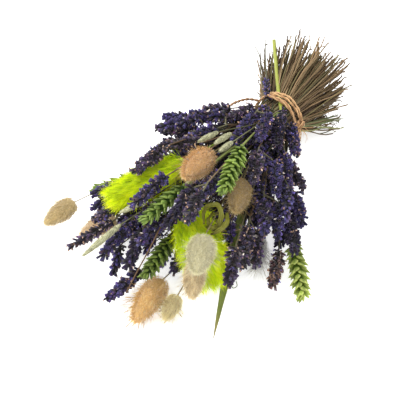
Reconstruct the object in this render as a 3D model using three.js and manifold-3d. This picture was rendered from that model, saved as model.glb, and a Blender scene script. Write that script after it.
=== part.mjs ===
// A tied bunch of dried lavender lying on its side, mixed with bunny-tail grass, green wheat,
// canary grass, two lime-dyed plumes, a grass blade and a curled bract.
// Millimetres, +Z up. The cut ends point to +Y, the flower heads to -Y, and the bunch lies on Z = 0.
import * as THREE from "three";
import { mergeVertices } from "three/addons/utils/BufferGeometryUtils.js";
import Module from "manifold-3d";

// The neck, where the twine holds the stems together
const TIE_HEIGHT = 35;
const NECK_RADIUS = 20.6;
const NECK_HALF = 9;
const CORE_HALF = 17;
const CORE_END_RADIUS = 12;
const STRAND_RADIUS = 1.4;
const STRAND_LOOP_RADIUS = NECK_RADIUS + STRAND_RADIUS + 0.45;
const CLEARANCE = 0.3;

// How far what lies on the table is pressed flat
const PRESSED = 1.1;

// The stems on the cut side, which spread from the neck like a broom
const CUT_STEMS = 86;
const CUT_STEM_RADIUS = 1.45;
const CUT_TILT = 30;
const CUT_LENGTH = 63;
const CUT_SLANT = 0.35;
const CUT_RAKE = 0.3;
const CUT_UNEVEN = 18;
const CUT_DRIFT = -0.1;
const CUT_RISE = 0.02;
const CUT_LOWEST = 0.2;
const CUT_RAISED = 2.4;

// The stems that carry the heads
const STEM_RADIUS = 1.25;
const STEM_SIDES = 3;
const TWIG_SIDES = 4;
const STEM_STEPS = 6;
const STEM_NECK = 9;
const SHOOT_START = 2.6;
const SHOOT_SHORTEST = 9;
const SHOOT_LONGEST = 24;
const SLOTS = 92;
const SLOT_DISC_RADIUS = NECK_RADIUS - STEM_RADIUS - 0.2;
const GOLDEN_ANGLE = Math.PI * (3 - Math.sqrt(5));

// A plume's thickness for its width
const PLUME_FLAT = 0.62;

// How stems and heads are spread until none touch
const SPREAD_ROUNDS = 900;
const SPREAD_GAP = 0.9;
const HOME_PULL = 0.02;
const FARTHEST_FROM_HOME = 13;

// Each kind of head: its widest radius, how far it yields when others press on it, and its colour
const KINDS = {
  lavender: { radius: 6.1, give: 1, color: 0x2f2858, roughness: 0.85 },
  bunny_tail: { radius: 10, give: 0.35, color: 0xc7a877, roughness: 0.95 },
  wheat_ear: { radius: 7.6, give: 0.5, color: 0x6f9a3c, roughness: 0.7 },
  canary_grass: { radius: 3, give: 0.8, color: 0xa9b58c, roughness: 0.8 },
  lime_plume: { radius: 15, give: 0.15, color: 0xa9d40e, roughness: 0.75 },
  grass_blade: { radius: 5, give: 0.6, color: 0x6b7f3a, roughness: 0.6 },
  curled_bract: { radius: 11, give: 0.2, color: 0x9a9432, roughness: 0.7 },
};

// Where each head lies. A plant is a kind and its heads, and a second head is a side shoot of the
// first. Turn is the tip's angle from the bunch's axis (positive to +X), reach its distance from the
// tie seen from above and height its height over the table. Length is the head's own. Veer turns the
// head off its line from the tie, and dip points it down. Degrees and millimetres.
// turn, reach, height, length, veer, dip, radius (if it isn't the kind's own)
const PLANTS = [
  // the dense tuft of lavender just in front of the tie
  ["lavender", [10, 95, 65, 46, 6, -2], [20, 98, 66, 46, 4, -2]],
  ["lavender", [30, 88, 60, 46, 3, 0], [40, 76, 44, 42, -4, 4]],
  ["lavender", [23, 146, 66, 44, 5, 1, 6.6], [30, 142, 53, 44, 1, 4, 6.6]],
  ["lavender", [35, 120, 42, 44, 0, 8, 6.6], [44, 104, 29, 38, -2, 8]],
  ["lavender", [-14, 66, 59, 30, -16, -2, 5.6]],
  // the spikes that hang out to the right
  ["lavender", [39, 140, 24, 36, 3, 10]],
  ["lavender", [36, 172, 20, 36, -2, 10, 6.4]],
  ["lavender", [28, 172, 43, 34, 0, 11, 6.4], [32, 166, 32, 36, 0, 12]],
  ["lavender", [29.5, 192, 9, 34, -2, 10, 5.6]],
  ["lavender", [24, 199, 34, 38, 5, 13], [27, 188, 22, 34, 5, 12]],
  ["lavender", [21.4, 220, 27, 32, -3, 19]],
  // the middle, over and between the plumes
  ["lavender", [1, 204, 60, 38, -4, 7]],
  ["lavender", [7, 201, 54, 32, -14, 14]],
  ["lavender", [13.2, 207, 69, 28, -8, 12], [9, 191, 62, 28, -12, 10]],
  ["lavender", [14, 181, 69, 36, 1, 2]],
  ["lavender", [18, 180, 38, 34, 0, 12]],
  // the upper left
  ["lavender", [-33, 110, 61, 32, -18, -6, 5.6]],
  ["lavender", [-28, 76, 64, 26, -16, -8, 5.6]],
  ["lavender", [-27, 121, 60, 36, -26, 2], [-16, 124, 66, 34, -28, 4]],
  ["lavender", [-10, 140, 66, 36, -28, 6]],
  ["lavender", [-22, 94, 66, 32, -22, -4], [-11, 112, 67, 34, -24, 0]],
  ["lavender", [-6, 179, 63, 38, 2, 6, 6.4]],
  // the far left and front
  ["lavender", [-17, 196, 38, 26, -20, 8], [-14, 202, 29, 24, -6, 16]],
  ["lavender", [-10, 210, 34, 28, -10, 12], [-10, 236, 22, 40, -12, 16]],
  ["lavender", [-2, 231, 28, 40, 4, 16, 6.4]],
  ["lavender", [3, 226, 22, 34, -2, 18], [2, 212, 38, 30, -8, 16]],
  ["lavender", [2, 246, 9, 36, -10, 11]],
  ["lavender", [3, 200, 28, 32, -4, 16]],
  ["lavender", [9, 211, 22, 32, -2, 18]],
  // the side it lies on
  ["lavender", [-30, 152, 5.4, 40, -6, 2], [-24, 132, 28, 38, -4, 4]],
  ["lavender", [-12, 140, 14, 42, -4, 6], [-22, 140, 18, 38, -4, 6]],
  ["lavender", [-1, 156, 12, 44, 2, 6], [9, 156, 14, 40, 2, 4]],
  ["lavender", [19, 186, 8, 38, 2, 6], [11, 190, 12, 36, 0, 6]],

  ["bunny_tail", [8, 173, 76, 42, -4, -1, 11]],
  ["bunny_tail", [20, 166, 50, 36, 4, 9, 9]],
  ["bunny_tail", [18, 240, 53, 38, 6, 6, 10.5]],
  ["bunny_tail", [17.7, 238, 35, 27, 5, 16, 8]],
  ["bunny_tail", [9, 253, 10.3, 46, 1, 0, 11]],
  ["bunny_tail", [13, 240, 8.5, 21, 6, 8, 6]],
  ["bunny_tail", [-17, 236, 28, 30, 6, 12, 8.4]],
  ["bunny_tail", [-13, 216, 17, 32, -10, 10, 8.4]],
  ["bunny_tail", [28, 177, 12, 30, 0, 8, 7]],

  ["wheat_ear", [18, 175, 76, 56, 6, 4, 7]],
  ["wheat_ear", [37, 204, 9, 58, 3, 8]],
  ["wheat_ear", [3, 204, 53, 48, -5, 8, 7]],
  ["wheat_ear", [-20, 189, 34, 46, -10, 3, 7]],
  ["wheat_ear", [8, 224, 22, 48, -4, 18, 7]],

  ["canary_grass", [-3, 241, 38, 36, -6, 12]],
  ["canary_grass", [5.1, 167, 53, 23, 3, 12]],
  ["canary_grass", [9, 133, 82, 35, 2, -5]],
  ["canary_grass", [4, 131, 84, 20, -26, -8, 2.8]],
  ["canary_grass", [12, 137, 81, 26, -4, -6]],
  ["canary_grass", [-3, 201, 52, 20, -30, 18, 2.8]],

  ["lime_plume", [-8, 200, 51, 70, -12, 9, 13.5]],
  ["lime_plume", [19.7, 216, 26, 68, 36, 14, 16]],

  ["grass_blade", [21.2, 240, 2, 108, 2, 14]],
  ["curled_bract", [18.2, 190, 52, 24, 18, 30]],
];

const UP = new THREE.Vector3(0, 1, 0);
const rad = THREE.MathUtils.degToRad;
const lerp = THREE.MathUtils.lerp;
const clamp = THREE.MathUtils.clamp;
const point = (x, y, z) => new THREE.Vector3(x, y, z);

// A small seeded random generator, so that every build is the same
function randomFrom(seed) {
  let state = seed >>> 0;
  return () => {
    state = (state + 0x6d2b79f5) >>> 0;
    let t = state;
    t = Math.imul(t ^ (t >>> 15), t | 1);
    t ^= t + Math.imul(t ^ (t >>> 7), t | 61);
    return ((t ^ (t >>> 14)) >>> 0) / 4294967296;
  };
}

// Points spread evenly over a disc in the neck's plane, as seeds are in a sunflower
function discPoints(count, radius) {
  return Array.from({ length: count }, (_, i) => {
    const r = radius * Math.sqrt((i + 0.5) / count);
    return [r * Math.cos(i * GOLDEN_ANGLE), r * Math.sin(i * GOLDEN_ANGLE)];
  });
}

// The direction of a head: turn from -Y towards +X, then dip below level
function heading(turn, dip) {
  return point(
    Math.sin(rad(turn)) * Math.cos(rad(dip)),
    -Math.cos(rad(turn)) * Math.cos(rad(dip)),
    -Math.sin(rad(dip)),
  );
}

// The straw of green wheat that lies over the neck, under the twine, from its cut end to its hidden one
const STRAW_RADIUS = 1.9;
const STRAW_KNOTS = [
  point(-44, 62, 74),
  point(-5, 9, 53.3),
  point(5.4, -4.9, 52.6),
  point(10.8, -12.1, 50.2),
  point(14.6, -17.2, 48),
];

// Where it passes over the front of the neck, so that no stem starts right under it
const STRAW_OVER_SLOTS = 8.5;

// The loose end of the twine, over the upper left of the bunch
const TWINE_END = [
  point(-20, 0, 46),
  point(-25, -11, 51),
  point(-26, -25, 55),
  point(-25, -38, 58),
  point(-25, -47, 56),
];

// The knot at the right of the neck, and the short end that hangs from it
const TWINE_KNOT = point(STRAND_LOOP_RADIUS + 1.2, -1, TIE_HEIGHT + 3);
const TWINE_SHORT_END = [
  TWINE_KNOT,
  TWINE_KNOT.clone().add(point(3, -5, -5)),
  TWINE_KNOT.clone().add(point(4, -9, -12)),
];

// Heads and stems as drawn, before they are spread
function plannedHeads() {
  const taken = new Set();
  const slots = discPoints(SLOTS, SLOT_DISC_RADIUS);
  const underStraw = ([x, z]) => z > 10 && Math.abs(x - STRAW_OVER_SLOTS) < 6;
  const freeSlot = (turn, base) => {
    const x = (SLOT_DISC_RADIUS * turn) / 44;
    const z = SLOT_DISC_RADIUS * clamp((base.z - TIE_HEIGHT) / 44, -0.8, 0.9);
    const far = (i) => Math.hypot(slots[i][0] - x, slots[i][1] - z);
    const open = slots.map((_, i) => i).filter((i) => !taken.has(i) && !underStraw(slots[i]));
    const best = open.reduce((a, b) => (far(b) < far(a) ? b : a));
    taken.add(best);
    return point(slots[best][0], -NECK_HALF, TIE_HEIGHT + slots[best][1]);
  };
  const count = {};
  return PLANTS.flatMap(([kind, ...places]) => {
    count[kind] = (count[kind] ?? 0) + 1;
    const name = `${kind}_${String(count[kind]).padStart(2, "0")}`;
    const { radius: usual, give } = KINDS[kind];
    let host = null;
    return places.map(([turn, reach, height, length, veer, dip, own]) => {
      const tip = point(reach * Math.sin(rad(turn)), -reach * Math.cos(rad(turn)), height);
      const base = tip.clone().addScaledVector(heading(turn + veer, dip), -length);
      const head = { name, kind, radius: own ?? usual, length, give, base, tip, host };
      head.home = [base.clone(), tip.clone()];
      if (!host) startStem(head, freeSlot(turn, base));
      if (host) host.forked = true;
      host ??= head;
      return head;
    });
  });
}

const axisOf = (head) => head.tip.clone().sub(head.base).normalize();

// Where a plant's stem ends and its heads, or the twig that carries two of them, begin
const forkOf = (head) => head.base.clone().addScaledVector(axisOf(head), -STEM_NECK);

// A head's own directions: Y along it, Z as near to upright as that allows
function directionsOf(head) {
  const y = axisOf(head);
  const z = point(0, 0, 1).addScaledVector(y, -y.z).normalize();
  return { x: y.clone().cross(z), y, z };
}

function startStem(head, slot) {
  const fork = forkOf(head);
  const far = slot.distanceTo(fork);
  const curve = new THREE.CubicBezierCurve3(
    slot,
    slot.clone().add(point(0, -0.3 * far, 0)),
    fork.clone().addScaledVector(axisOf(head), -0.3 * far),
    fork,
  );
  head.slot = slot;
  head.mids = [0.25, 0.5, 0.75].map((t) => curve.getPoint(t));
}

// Closest points of two segments, as shares s and t along them
function closestShares(p1, q1, p2, q2) {
  const d1 = q1.clone().sub(p1);
  const d2 = q2.clone().sub(p2);
  const r = p1.clone().sub(p2);
  const a = d1.dot(d1);
  const e = d2.dot(d2);
  const b = d1.dot(d2);
  const c = d1.dot(r);
  const f = d2.dot(r);
  const denominator = a * e - b * b;
  let s = denominator > 1e-9 ? clamp((b * f - c * e) / denominator, 0, 1) : 0.5;
  let t = (b * s + f) / e;
  if (t < 0 || t > 1) {
    t = clamp(t, 0, 1);
    s = clamp((b * t - c) / a, 0, 1);
  }
  return [s, t];
}

// Moves the ends of a segment so that its point at share s moves by push
function moveAt(ends, s, push) {
  const weights = [1 - s, s];
  const scale = 1 / (weights[0] ** 2 + weights[1] ** 2);
  ends.forEach((end, k) => end && end.addScaledVector(push, weights[k] * scale));
}

// Pushes two segments apart until they are gap away. Each side yields in the ratio of its give.
function pushApart(first, second, gap) {
  if (first.p.distanceTo(second.p) > first.p.distanceTo(first.q) + second.p.distanceTo(second.q) + gap) {
    return;
  }
  const [s, t] = closestShares(first.p, first.q, second.p, second.q);
  const here = first.p.clone().lerp(first.q, s);
  const there = second.p.clone().lerp(second.q, t);
  const between = here.clone().sub(there);
  const distance = between.length();
  const short = gap - distance;
  if (short <= 0 || distance < 1e-6) return;
  between.divideScalar(distance);
  const sum = first.give + second.give;
  moveAt(first.ends, s, between.clone().multiplyScalar((short * first.give) / sum));
  moveAt(second.ends, t, between.multiplyScalar((-short * second.give) / sum));
}

// The stretches that stand for a head, shorter than it by its rounded ends. A plume is wide and
// flat, so three stretches lie side by side in it.
function bodiesOf(head) {
  const { x, y } = directionsOf(head);
  const wide = head.kind === "lime_plume";
  const radius = wide ? head.radius * PLUME_FLAT : head.radius;
  const p = head.base.clone().addScaledVector(y, 0.7 * radius);
  const q = head.tip.clone().addScaledVector(y, -0.85 * radius);
  const sides = wide ? [-1, 0, 1] : [0];
  return sides.map((side) => {
    const aside = x.clone().multiplyScalar(side * (head.radius - radius));
    return {
      p: p.clone().add(aside),
      q: q.clone().add(aside),
      radius,
      ends: [head.base, head.tip],
      give: head.give,
    };
  });
}

function stemOf(head) {
  if (head.host) {
    const p = forkOf(head.host);
    return [{ p, q: head.base.clone(), ends: [head.base, head.tip], give: head.give, twig: true }];
  }
  const knots = [head.slot, ...head.mids, forkOf(head), head.base.clone()];
  const free = [null, ...head.mids, null, null];
  if (head.forked) free.splice(4, 2, head.base, head.tip);
  return knots.slice(1).map((q, i) => ({
    p: knots[i],
    q,
    ends: [free[i], free[i + 1]],
    give: i < 4 ? 3 : 0,
    twig: i === 4 && head.forked,
  }));
}

// What heads and stems have to keep clear of
function fixedThings() {
  const still = (p, q, radius) => ({ p, q, radius, ends: [null, null], give: 0 });
  return [
    still(STRAW_KNOTS[2], STRAW_KNOTS[4], STRAW_RADIUS),
    ...[TWINE_END, TWINE_SHORT_END].flatMap((end) => {
      return end.slice(1).map((q, i) => still(end[i], q, STRAND_RADIUS));
    }),
  ];
}

// Spreads the heads and bends the stems clear of them
function spread(heads) {
  const fixed = fixedThings();
  for (let round = 0; round < SPREAD_ROUNDS; round++) {
    const settle = round > 0.7 * SPREAD_ROUNDS;
    const bodies = heads.map(bodiesOf);
    const stems = heads.map(stemOf);
    stems.flat().forEach((segment) => {
      fixed.forEach((thing) => {
        if (segment.give) pushApart(segment, thing, STEM_RADIUS + thing.radius + SPREAD_GAP);
      });
    });
    stems.forEach((segments, i) => {
      segments.filter((segment) => segment.twig).forEach((twig) => {
        stems.forEach((others, j) => {
          if (j === i || heads[i].host === heads[j] || heads[j].host === heads[i]) return;
          others.forEach((other) => pushApart(twig, other, 2 * STEM_RADIUS + SPREAD_GAP));
        });
      });
    });
    heads.forEach((one, i) => {
      bodies[i].forEach((body) => {
        for (let j = i + 1; j < heads.length; j++) {
          const joined = heads[j].host === one;
          bodies[j].forEach((other) => {
            const gap = joined ? 0.6 * (body.radius + other.radius) : body.radius + other.radius;
            pushApart(body, other, gap + SPREAD_GAP);
          });
        }
        fixed.forEach((thing) => pushApart(body, thing, body.radius + thing.radius + SPREAD_GAP));
        stems.forEach((segments, j) => {
          if (j === i || heads[j].host === one) return;
          segments.forEach((segment, k) => {
            if (one.host === heads[j] && k > 3) return;
            const softer = { ...body, give: segment.give ? one.give * 0.3 : one.give };
            pushApart(softer, segment, body.radius + STEM_RADIUS + SPREAD_GAP);
          });
        });
      });
    });
    heads.forEach((head) => {
      if (!settle && head.give > 0) {
        head.base.lerp(head.home[0], HOME_PULL);
        head.tip.lerp(head.home[1], HOME_PULL);
      }
      stayNearHome(head);
      keepLength(head);
      if (head.host) stayNearHost(head);
      stayOnTable(head);
      if (!head.host) smoothStem(head);
    });
  }
}

function stayNearHome(head) {
  [head.base, head.tip].forEach((end, i) => {
    const away = end.clone().sub(head.home[i]);
    if (away.length() > FARTHEST_FROM_HOME) end.copy(head.home[i]).add(away.setLength(FARTHEST_FROM_HOME));
  });
}

function keepLength(head) {
  const middle = head.base.clone().add(head.tip).multiplyScalar(0.5);
  const axis = axisOf(head);
  head.base.copy(middle).addScaledVector(axis, -head.length / 2);
  head.tip.copy(middle).addScaledVector(axis, head.length / 2);
}

// Keeps a side shoot's foot within reach of the fork
function stayNearHost(head) {
  const fork = forkOf(head.host);
  const away = head.base.clone().sub(fork);
  const reach = clamp(away.length(), SHOOT_SHORTEST, SHOOT_LONGEST);
  const shift = away.clone().setLength(reach).sub(away);
  head.base.add(shift);
  head.tip.add(shift);
}

function stayOnTable(head) {
  const low = { grass_blade: 1.2, lime_plume: head.radius * PLUME_FLAT }[head.kind] ?? head.radius;
  head.base.z = Math.max(head.base.z, low - PRESSED);
  head.tip.z = Math.max(head.tip.z, low - PRESSED);
  if (!head.host) head.mids.forEach((mid) => (mid.z = Math.max(mid.z, 2 * STEM_RADIUS)));
}

function smoothStem(head) {
  const knots = [head.slot, ...head.mids, forkOf(head)];
  head.mids.forEach((mid, i) => {
    const even = knots[i].clone().add(knots[i + 2]).multiplyScalar(0.5);
    mid.lerp(even, 0.06);
  });
}

// Joining and cutting

const wasm = await Module();
wasm.setup();

function solidOf(geometry) {
  const bare = geometry.clone();
  for (const name of Object.keys(bare.attributes)) if (name !== "position") bare.deleteAttribute(name);
  const merged = mergeVertices(bare, 1e-4);
  return new wasm.Manifold(
    new wasm.Mesh({
      numProp: 3,
      vertProperties: merged.attributes.position.array,
      triVerts: new Uint32Array(merged.index.array),
    }),
  );
}

function geometryOf(solid) {
  const mesh = solid.getMesh();
  const positions = new Float32Array(mesh.numVert * 3);
  for (let i = 0; i < mesh.numVert; i++) {
    for (let k = 0; k < 3; k++) positions[3 * i + k] = mesh.vertProperties[i * mesh.numProp + k];
  }
  const geometry = new THREE.BufferGeometry();
  geometry.setAttribute("position", new THREE.BufferAttribute(positions, 3));
  geometry.setIndex(new THREE.BufferAttribute(mesh.triVerts, 1));
  return geometry;
}

// What lies on the table, pressed flat where it touches
const flatBelow = (solid) => solid.trimByPlane([0, 0, 1], 0);

// The largest body of a solid: scraps that a cut leaves loose are dropped
function largestBody(solid) {
  return solid.decompose().reduce((best, body) => (body.volume() > best.volume() ? body : best));
}

// Shapes

// A rod of a few sides along a curve
function rod(curve, radius, sides, steps) {
  const outline = new THREE.Shape(
    Array.from({ length: sides }, (_, i) => {
      const a = (2 * Math.PI * i) / sides;
      return new THREE.Vector2(radius * Math.cos(a), radius * Math.sin(a));
    }),
  );
  return new THREE.ExtrudeGeometry(outline, { steps, bevelEnabled: false, extrudePath: curve });
}

// A straight rod between two points
function stick(from, to, radius, sides) {
  const geometry = new THREE.CylinderGeometry(radius, radius, from.distanceTo(to), sides, 1);
  const turn = new THREE.Quaternion().setFromUnitVectors(UP, to.clone().sub(from).normalize());
  return geometry
    .applyQuaternion(turn)
    .translate((from.x + to.x) / 2, (from.y + to.y) / 2, (from.z + to.z) / 2);
}

// A closed surface of rings, flat at the foot and pointed at the tip. Every second point of a ring
// stands out as a floret or scale, and the next ring is set over by one, so that each of them is a
// separate four-sided point with a valley all round it.
function studded(rings, columns, pointAt) {
  const positions = [0, 0, 0];
  for (let k = 0; k < rings; k++) {
    for (let j = 0; j < columns; j++) {
      const p = pointAt(k / rings, (2 * Math.PI * j) / columns, (k + j) % 2 === 0);
      positions.push(p.x, p.y, p.z);
    }
  }
  const end = pointAt(1, 0, true);
  positions.push(end.x, end.y, end.z);
  const at = (k, j) => 1 + k * columns + (j % columns);
  const last = 1 + rings * columns;
  const index = [];
  for (let j = 0; j < columns; j++) {
    index.push(0, at(0, j), at(0, j + 1));
    index.push(last, at(rings - 1, j + 1), at(rings - 1, j));
    for (let k = 0; k < rings - 1; k++) {
      const [a, b, c, d] = [at(k, j), at(k, j + 1), at(k + 1, j + 1), at(k + 1, j)];
      const out = (k + j) % 2 === 0;
      index.push(...(out ? [a, d, b, b, d, c] : [a, c, b, a, d, c]));
    }
  }
  const geometry = new THREE.BufferGeometry();
  geometry.setAttribute("position", new THREE.Float32BufferAttribute(positions, 3));
  geometry.setIndex(index);
  return geometry;
}

// A head of florets or scales. It stands along +Y with its foot at the origin.
function studdedHead({ length, rings, columns, widthAt, flat = 1, valley, lean, jitter, seed }) {
  const random = randomFrom(seed);
  return studded(rings, columns, (u, angle, out) => {
    if (u >= 1) return point(0, length, 0);
    const uneven = 1 + jitter * (random() - 0.5);
    const width = widthAt(u) * (out ? uneven : valley);
    const along = u * length * 0.94 + (out && u > 0 ? lean : 0);
    return point(width * Math.cos(angle), along, flat * width * Math.sin(angle));
  });
}

// A lavender spike: whorls of calyces, fullest in the middle
function lavenderSpike(head, seed) {
  return studdedHead({
    length: head.length,
    rings: 6,
    columns: 8,
    widthAt: (u) => head.radius * (u === 0 ? 0.42 : lerp(0.92, 1, Math.sin(Math.PI * u)) - 0.42 * u ** 4),
    valley: 0.62,
    lean: 2.4,
    jitter: 0.22,
    seed,
  });
}

// A bunny tail: an egg of soft awns, widest below its middle
function bunnyTail(head, seed) {
  return studdedHead({
    length: head.length,
    rings: 7,
    columns: 12,
    widthAt: (u) => head.radius * (u === 0 ? 0.3 : Math.sin(Math.PI * (0.12 + 0.86 * u ** 0.78)) ** 0.62),
    valley: 0.88,
    lean: 1.4,
    jitter: 0.06,
    seed,
  });
}

// A wheat ear: two ranks of plump spikelets, a little flat
function wheatEar(head, seed) {
  return studdedHead({
    length: head.length,
    rings: 11,
    columns: 8,
    widthAt: (u) => head.radius * (u === 0 ? 0.35 : 0.98 - 0.45 * u ** 5),
    flat: 0.82,
    valley: 0.6,
    lean: 3.6,
    jitter: 0.1,
    seed,
  });
}

// A head of canary grass: slim, with small flat scales
function canaryHead(head, seed) {
  return studdedHead({
    length: head.length,
    rings: 6,
    columns: 8,
    widthAt: (u) => head.radius * (u === 0 ? 0.4 : Math.sin(Math.PI * (0.16 + 0.8 * u)) ** 0.7),
    valley: 0.82,
    lean: 1.6,
    jitter: 0.08,
    seed,
  });
}

// A dyed plume: a soft curved brush whose tufts lean to the tip
function limePlume(head, seed) {
  return studdedHead({
    length: head.length,
    rings: 11,
    columns: 16,
    widthAt: (u) => head.radius * (u === 0 ? 0.35 : Math.sin(Math.PI * (0.14 + 0.78 * u)) ** 0.5),
    flat: PLUME_FLAT,
    valley: 0.76,
    lean: 4.5,
    jitter: 0.22,
    seed,
  });
}

// A grass blade: long, thin, tapering to a point, with a fold along its middle
function grassBlade(head) {
  const width = 8;
  const thickness = 0.9;
  const rise = 5;
  const geometry = new THREE.BoxGeometry(width, head.length, thickness, 2, 12, 1);
  const positions = geometry.attributes.position;
  for (let i = 0; i < positions.count; i++) {
    const u = positions.getY(i) / head.length + 0.5;
    const taper = lerp(0.75, 1, Math.sin(Math.PI * Math.min(1, 2 * u) * 0.5)) * (1 - 0.93 * u ** 2.2);
    const x = positions.getX(i) * taper;
    const fold = 0.22 * Math.abs(x);
    const arch = rise * Math.sin(Math.PI * u);
    positions.setXYZ(i, x, u * head.length, positions.getZ(i) + fold + arch);
  }
  return geometry;
}

// A curled bract: a strip rolled into an open spiral
function curledBract(head) {
  const width = 7;
  const thickness = 1;
  const turns = 1.15;
  const outer = head.radius - thickness / 2;
  const inner = 4.6;
  const length = 2 * Math.PI * turns;
  const geometry = new THREE.BoxGeometry(length, width, thickness, 16, 1, 1);
  const positions = geometry.attributes.position;
  for (let i = 0; i < positions.count; i++) {
    const along = positions.getX(i) / length + 0.5;
    const angle = along * length - Math.PI / 2;
    const radius = lerp(outer, inner, along) + positions.getZ(i);
    const narrow = lerp(0.55, 1, Math.sin(Math.PI * along));
    const across = positions.getY(i) * narrow;
    positions.setXYZ(i, radius * Math.cos(angle), head.radius + radius * Math.sin(angle), across);
  }
  return geometry;
}

const SHAPES = {
  lavender: lavenderSpike,
  bunny_tail: bunnyTail,
  wheat_ear: wheatEar,
  canary_grass: canaryHead,
  lime_plume: limePlume,
  grass_blade: grassBlade,
  curled_bract: curledBract,
};

// The neck's core, where the stems are pressed into one body
function neckCore() {
  const profile = [
    [0, -CORE_HALF],
    [CORE_END_RADIUS, -CORE_HALF],
    [NECK_RADIUS, -NECK_HALF],
    [NECK_RADIUS, NECK_HALF],
    [CORE_END_RADIUS, CORE_HALF],
    [0, CORE_HALF],
  ].map(([r, y]) => new THREE.Vector2(r, y));
  return new THREE.LatheGeometry(profile, 24).translate(0, 0, TIE_HEIGHT);
}

// The cut ends, spread like a broom and pressed flat where they lie on the table
function cutStems() {
  const random = randomFrom(11);
  const jitter = () => 0.12 * (random() - 0.5);
  return discPoints(CUT_STEMS, NECK_RADIUS - CUT_STEM_RADIUS).map(([x, z], i) => {
    const outward = Math.sin(rad(CUT_TILT)) * ((i + 0.5) / CUT_STEMS) ** 0.6;
    const far = Math.hypot(x, z);
    const from = point(x, NECK_HALF - 1, TIE_HEIGHT + z);
    const way = point(
      (outward * x) / far + CUT_DRIFT + jitter(),
      Math.sqrt(1 - outward ** 2),
      (outward * z) / far + CUT_RISE + jitter(),
    );
    const length = CUT_LENGTH + CUT_SLANT * x + CUT_RAKE * z + CUT_UNEVEN * (random() - 0.5);
    const to = from.clone().addScaledVector(way, length);
    to.z = Math.max(to.z, CUT_LOWEST + CUT_RAISED * random());
    return stick(from, to, CUT_STEM_RADIUS, STEM_SIDES);
  });
}

// One stem, from the neck to the foot of its head, or to the fork where it carries two
function headStem(head) {
  const axis = axisOf(head);
  const end = head.forked ? forkOf(head) : head.base;
  const before = end.clone().addScaledVector(axis, -STEM_NECK / 2);
  const foot = end.clone().addScaledVector(axis, -CLEARANCE);
  const inside = head.slot.clone().add(point(0, NECK_HALF - 2, 0));
  const curve = new THREE.CatmullRomCurve3([inside, head.slot, ...head.mids, before, foot]);
  return rod(curve, STEM_RADIUS, STEM_SIDES, STEM_STEPS);
}

const strawCurve = new THREE.CatmullRomCurve3(STRAW_KNOTS);

function stemBundle(heads) {
  const carried = heads.filter((head) => !head.host).map(headStem);
  const parts = [neckCore(), ...cutStems(), ...carried].map(solidOf);
  const joined = wasm.Manifold.union(parts);
  const groove = solidOf(rod(strawCurve, STRAW_RADIUS + 2 * CLEARANCE, 6, 8));
  return largestBody(flatBelow(joined.subtract(groove)));
}

// One strand of the twine: a loop round the neck that swings along it
function strand(offset, swing, phase) {
  const geometry = new THREE.TorusGeometry(STRAND_LOOP_RADIUS, STRAND_RADIUS, 4, 22);
  geometry.rotateX(Math.PI / 2);
  const positions = geometry.attributes.position;
  for (let i = 0; i < positions.count; i++) {
    const angle = Math.atan2(positions.getZ(i), positions.getX(i));
    positions.setY(i, positions.getY(i) + offset + swing * Math.cos(angle - phase));
  }
  return geometry.translate(0, 0, TIE_HEIGHT);
}

function twine() {
  const knot = new THREE.SphereGeometry(3.6, 7, 5).scale(0.8, 1.3, 1);
  knot.translate(TWINE_KNOT.x, TWINE_KNOT.y, TWINE_KNOT.z);
  const parts = [
    strand(1, 1, 0.4),
    strand(-1.5, 4.2, Math.PI * 1.25),
    strand(3, 2.6, Math.PI * 0.35),
    knot,
    rod(new THREE.CatmullRomCurve3(TWINE_END), STRAND_RADIUS * 0.85, 4, 9),
    rod(new THREE.CatmullRomCurve3(TWINE_SHORT_END), STRAND_RADIUS * 0.8, 4, 5),
  ];
  return largestBody(wasm.Manifold.union(parts.map(solidOf)));
}

// The bunch

const bunch = new THREE.Group();
bunch.name = "dried_lavender_bunch";

function add(group, name, geometry, color, roughness) {
  const material = new THREE.MeshStandardMaterial({ color, roughness, metalness: 0 });
  const mesh = new THREE.Mesh(geometry, material);
  mesh.name = name;
  group.add(mesh);
  return mesh;
}

const heads = plannedHeads();
spread(heads);

const placeOf = (head) => {
  const { x, y, z } = directionsOf(head);
  return new THREE.Matrix4().makeBasis(x, y, z).setPosition(head.base);
};

// Two heads and the twigs that join them at the fork
function forkedPair(host, shoot, seed) {
  const axis = axisOf(host);
  const fork = forkOf(host);
  const inside = (head) => head.base.clone().addScaledVector(axisOf(head), 1);
  const mainTwig = rod(new THREE.LineCurve3(fork, inside(host)), STEM_RADIUS, TWIG_SIDES, 1);
  const start = fork.clone().addScaledVector(axis, SHOOT_START);
  const bend = shoot.base.clone().addScaledVector(axisOf(shoot), -0.3 * start.distanceTo(shoot.base));
  const sideWay = new THREE.CatmullRomCurve3([start, bend, shoot.base, inside(shoot)]);
  const parts = [
    SHAPES[host.kind](host, seed).applyMatrix4(placeOf(host)),
    SHAPES[shoot.kind](shoot, seed + 50).applyMatrix4(placeOf(shoot)),
    mainTwig,
    rod(sideWay, STEM_RADIUS, TWIG_SIDES, 4),
  ];
  return wasm.Manifold.union(parts.map(solidOf));
}

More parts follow.
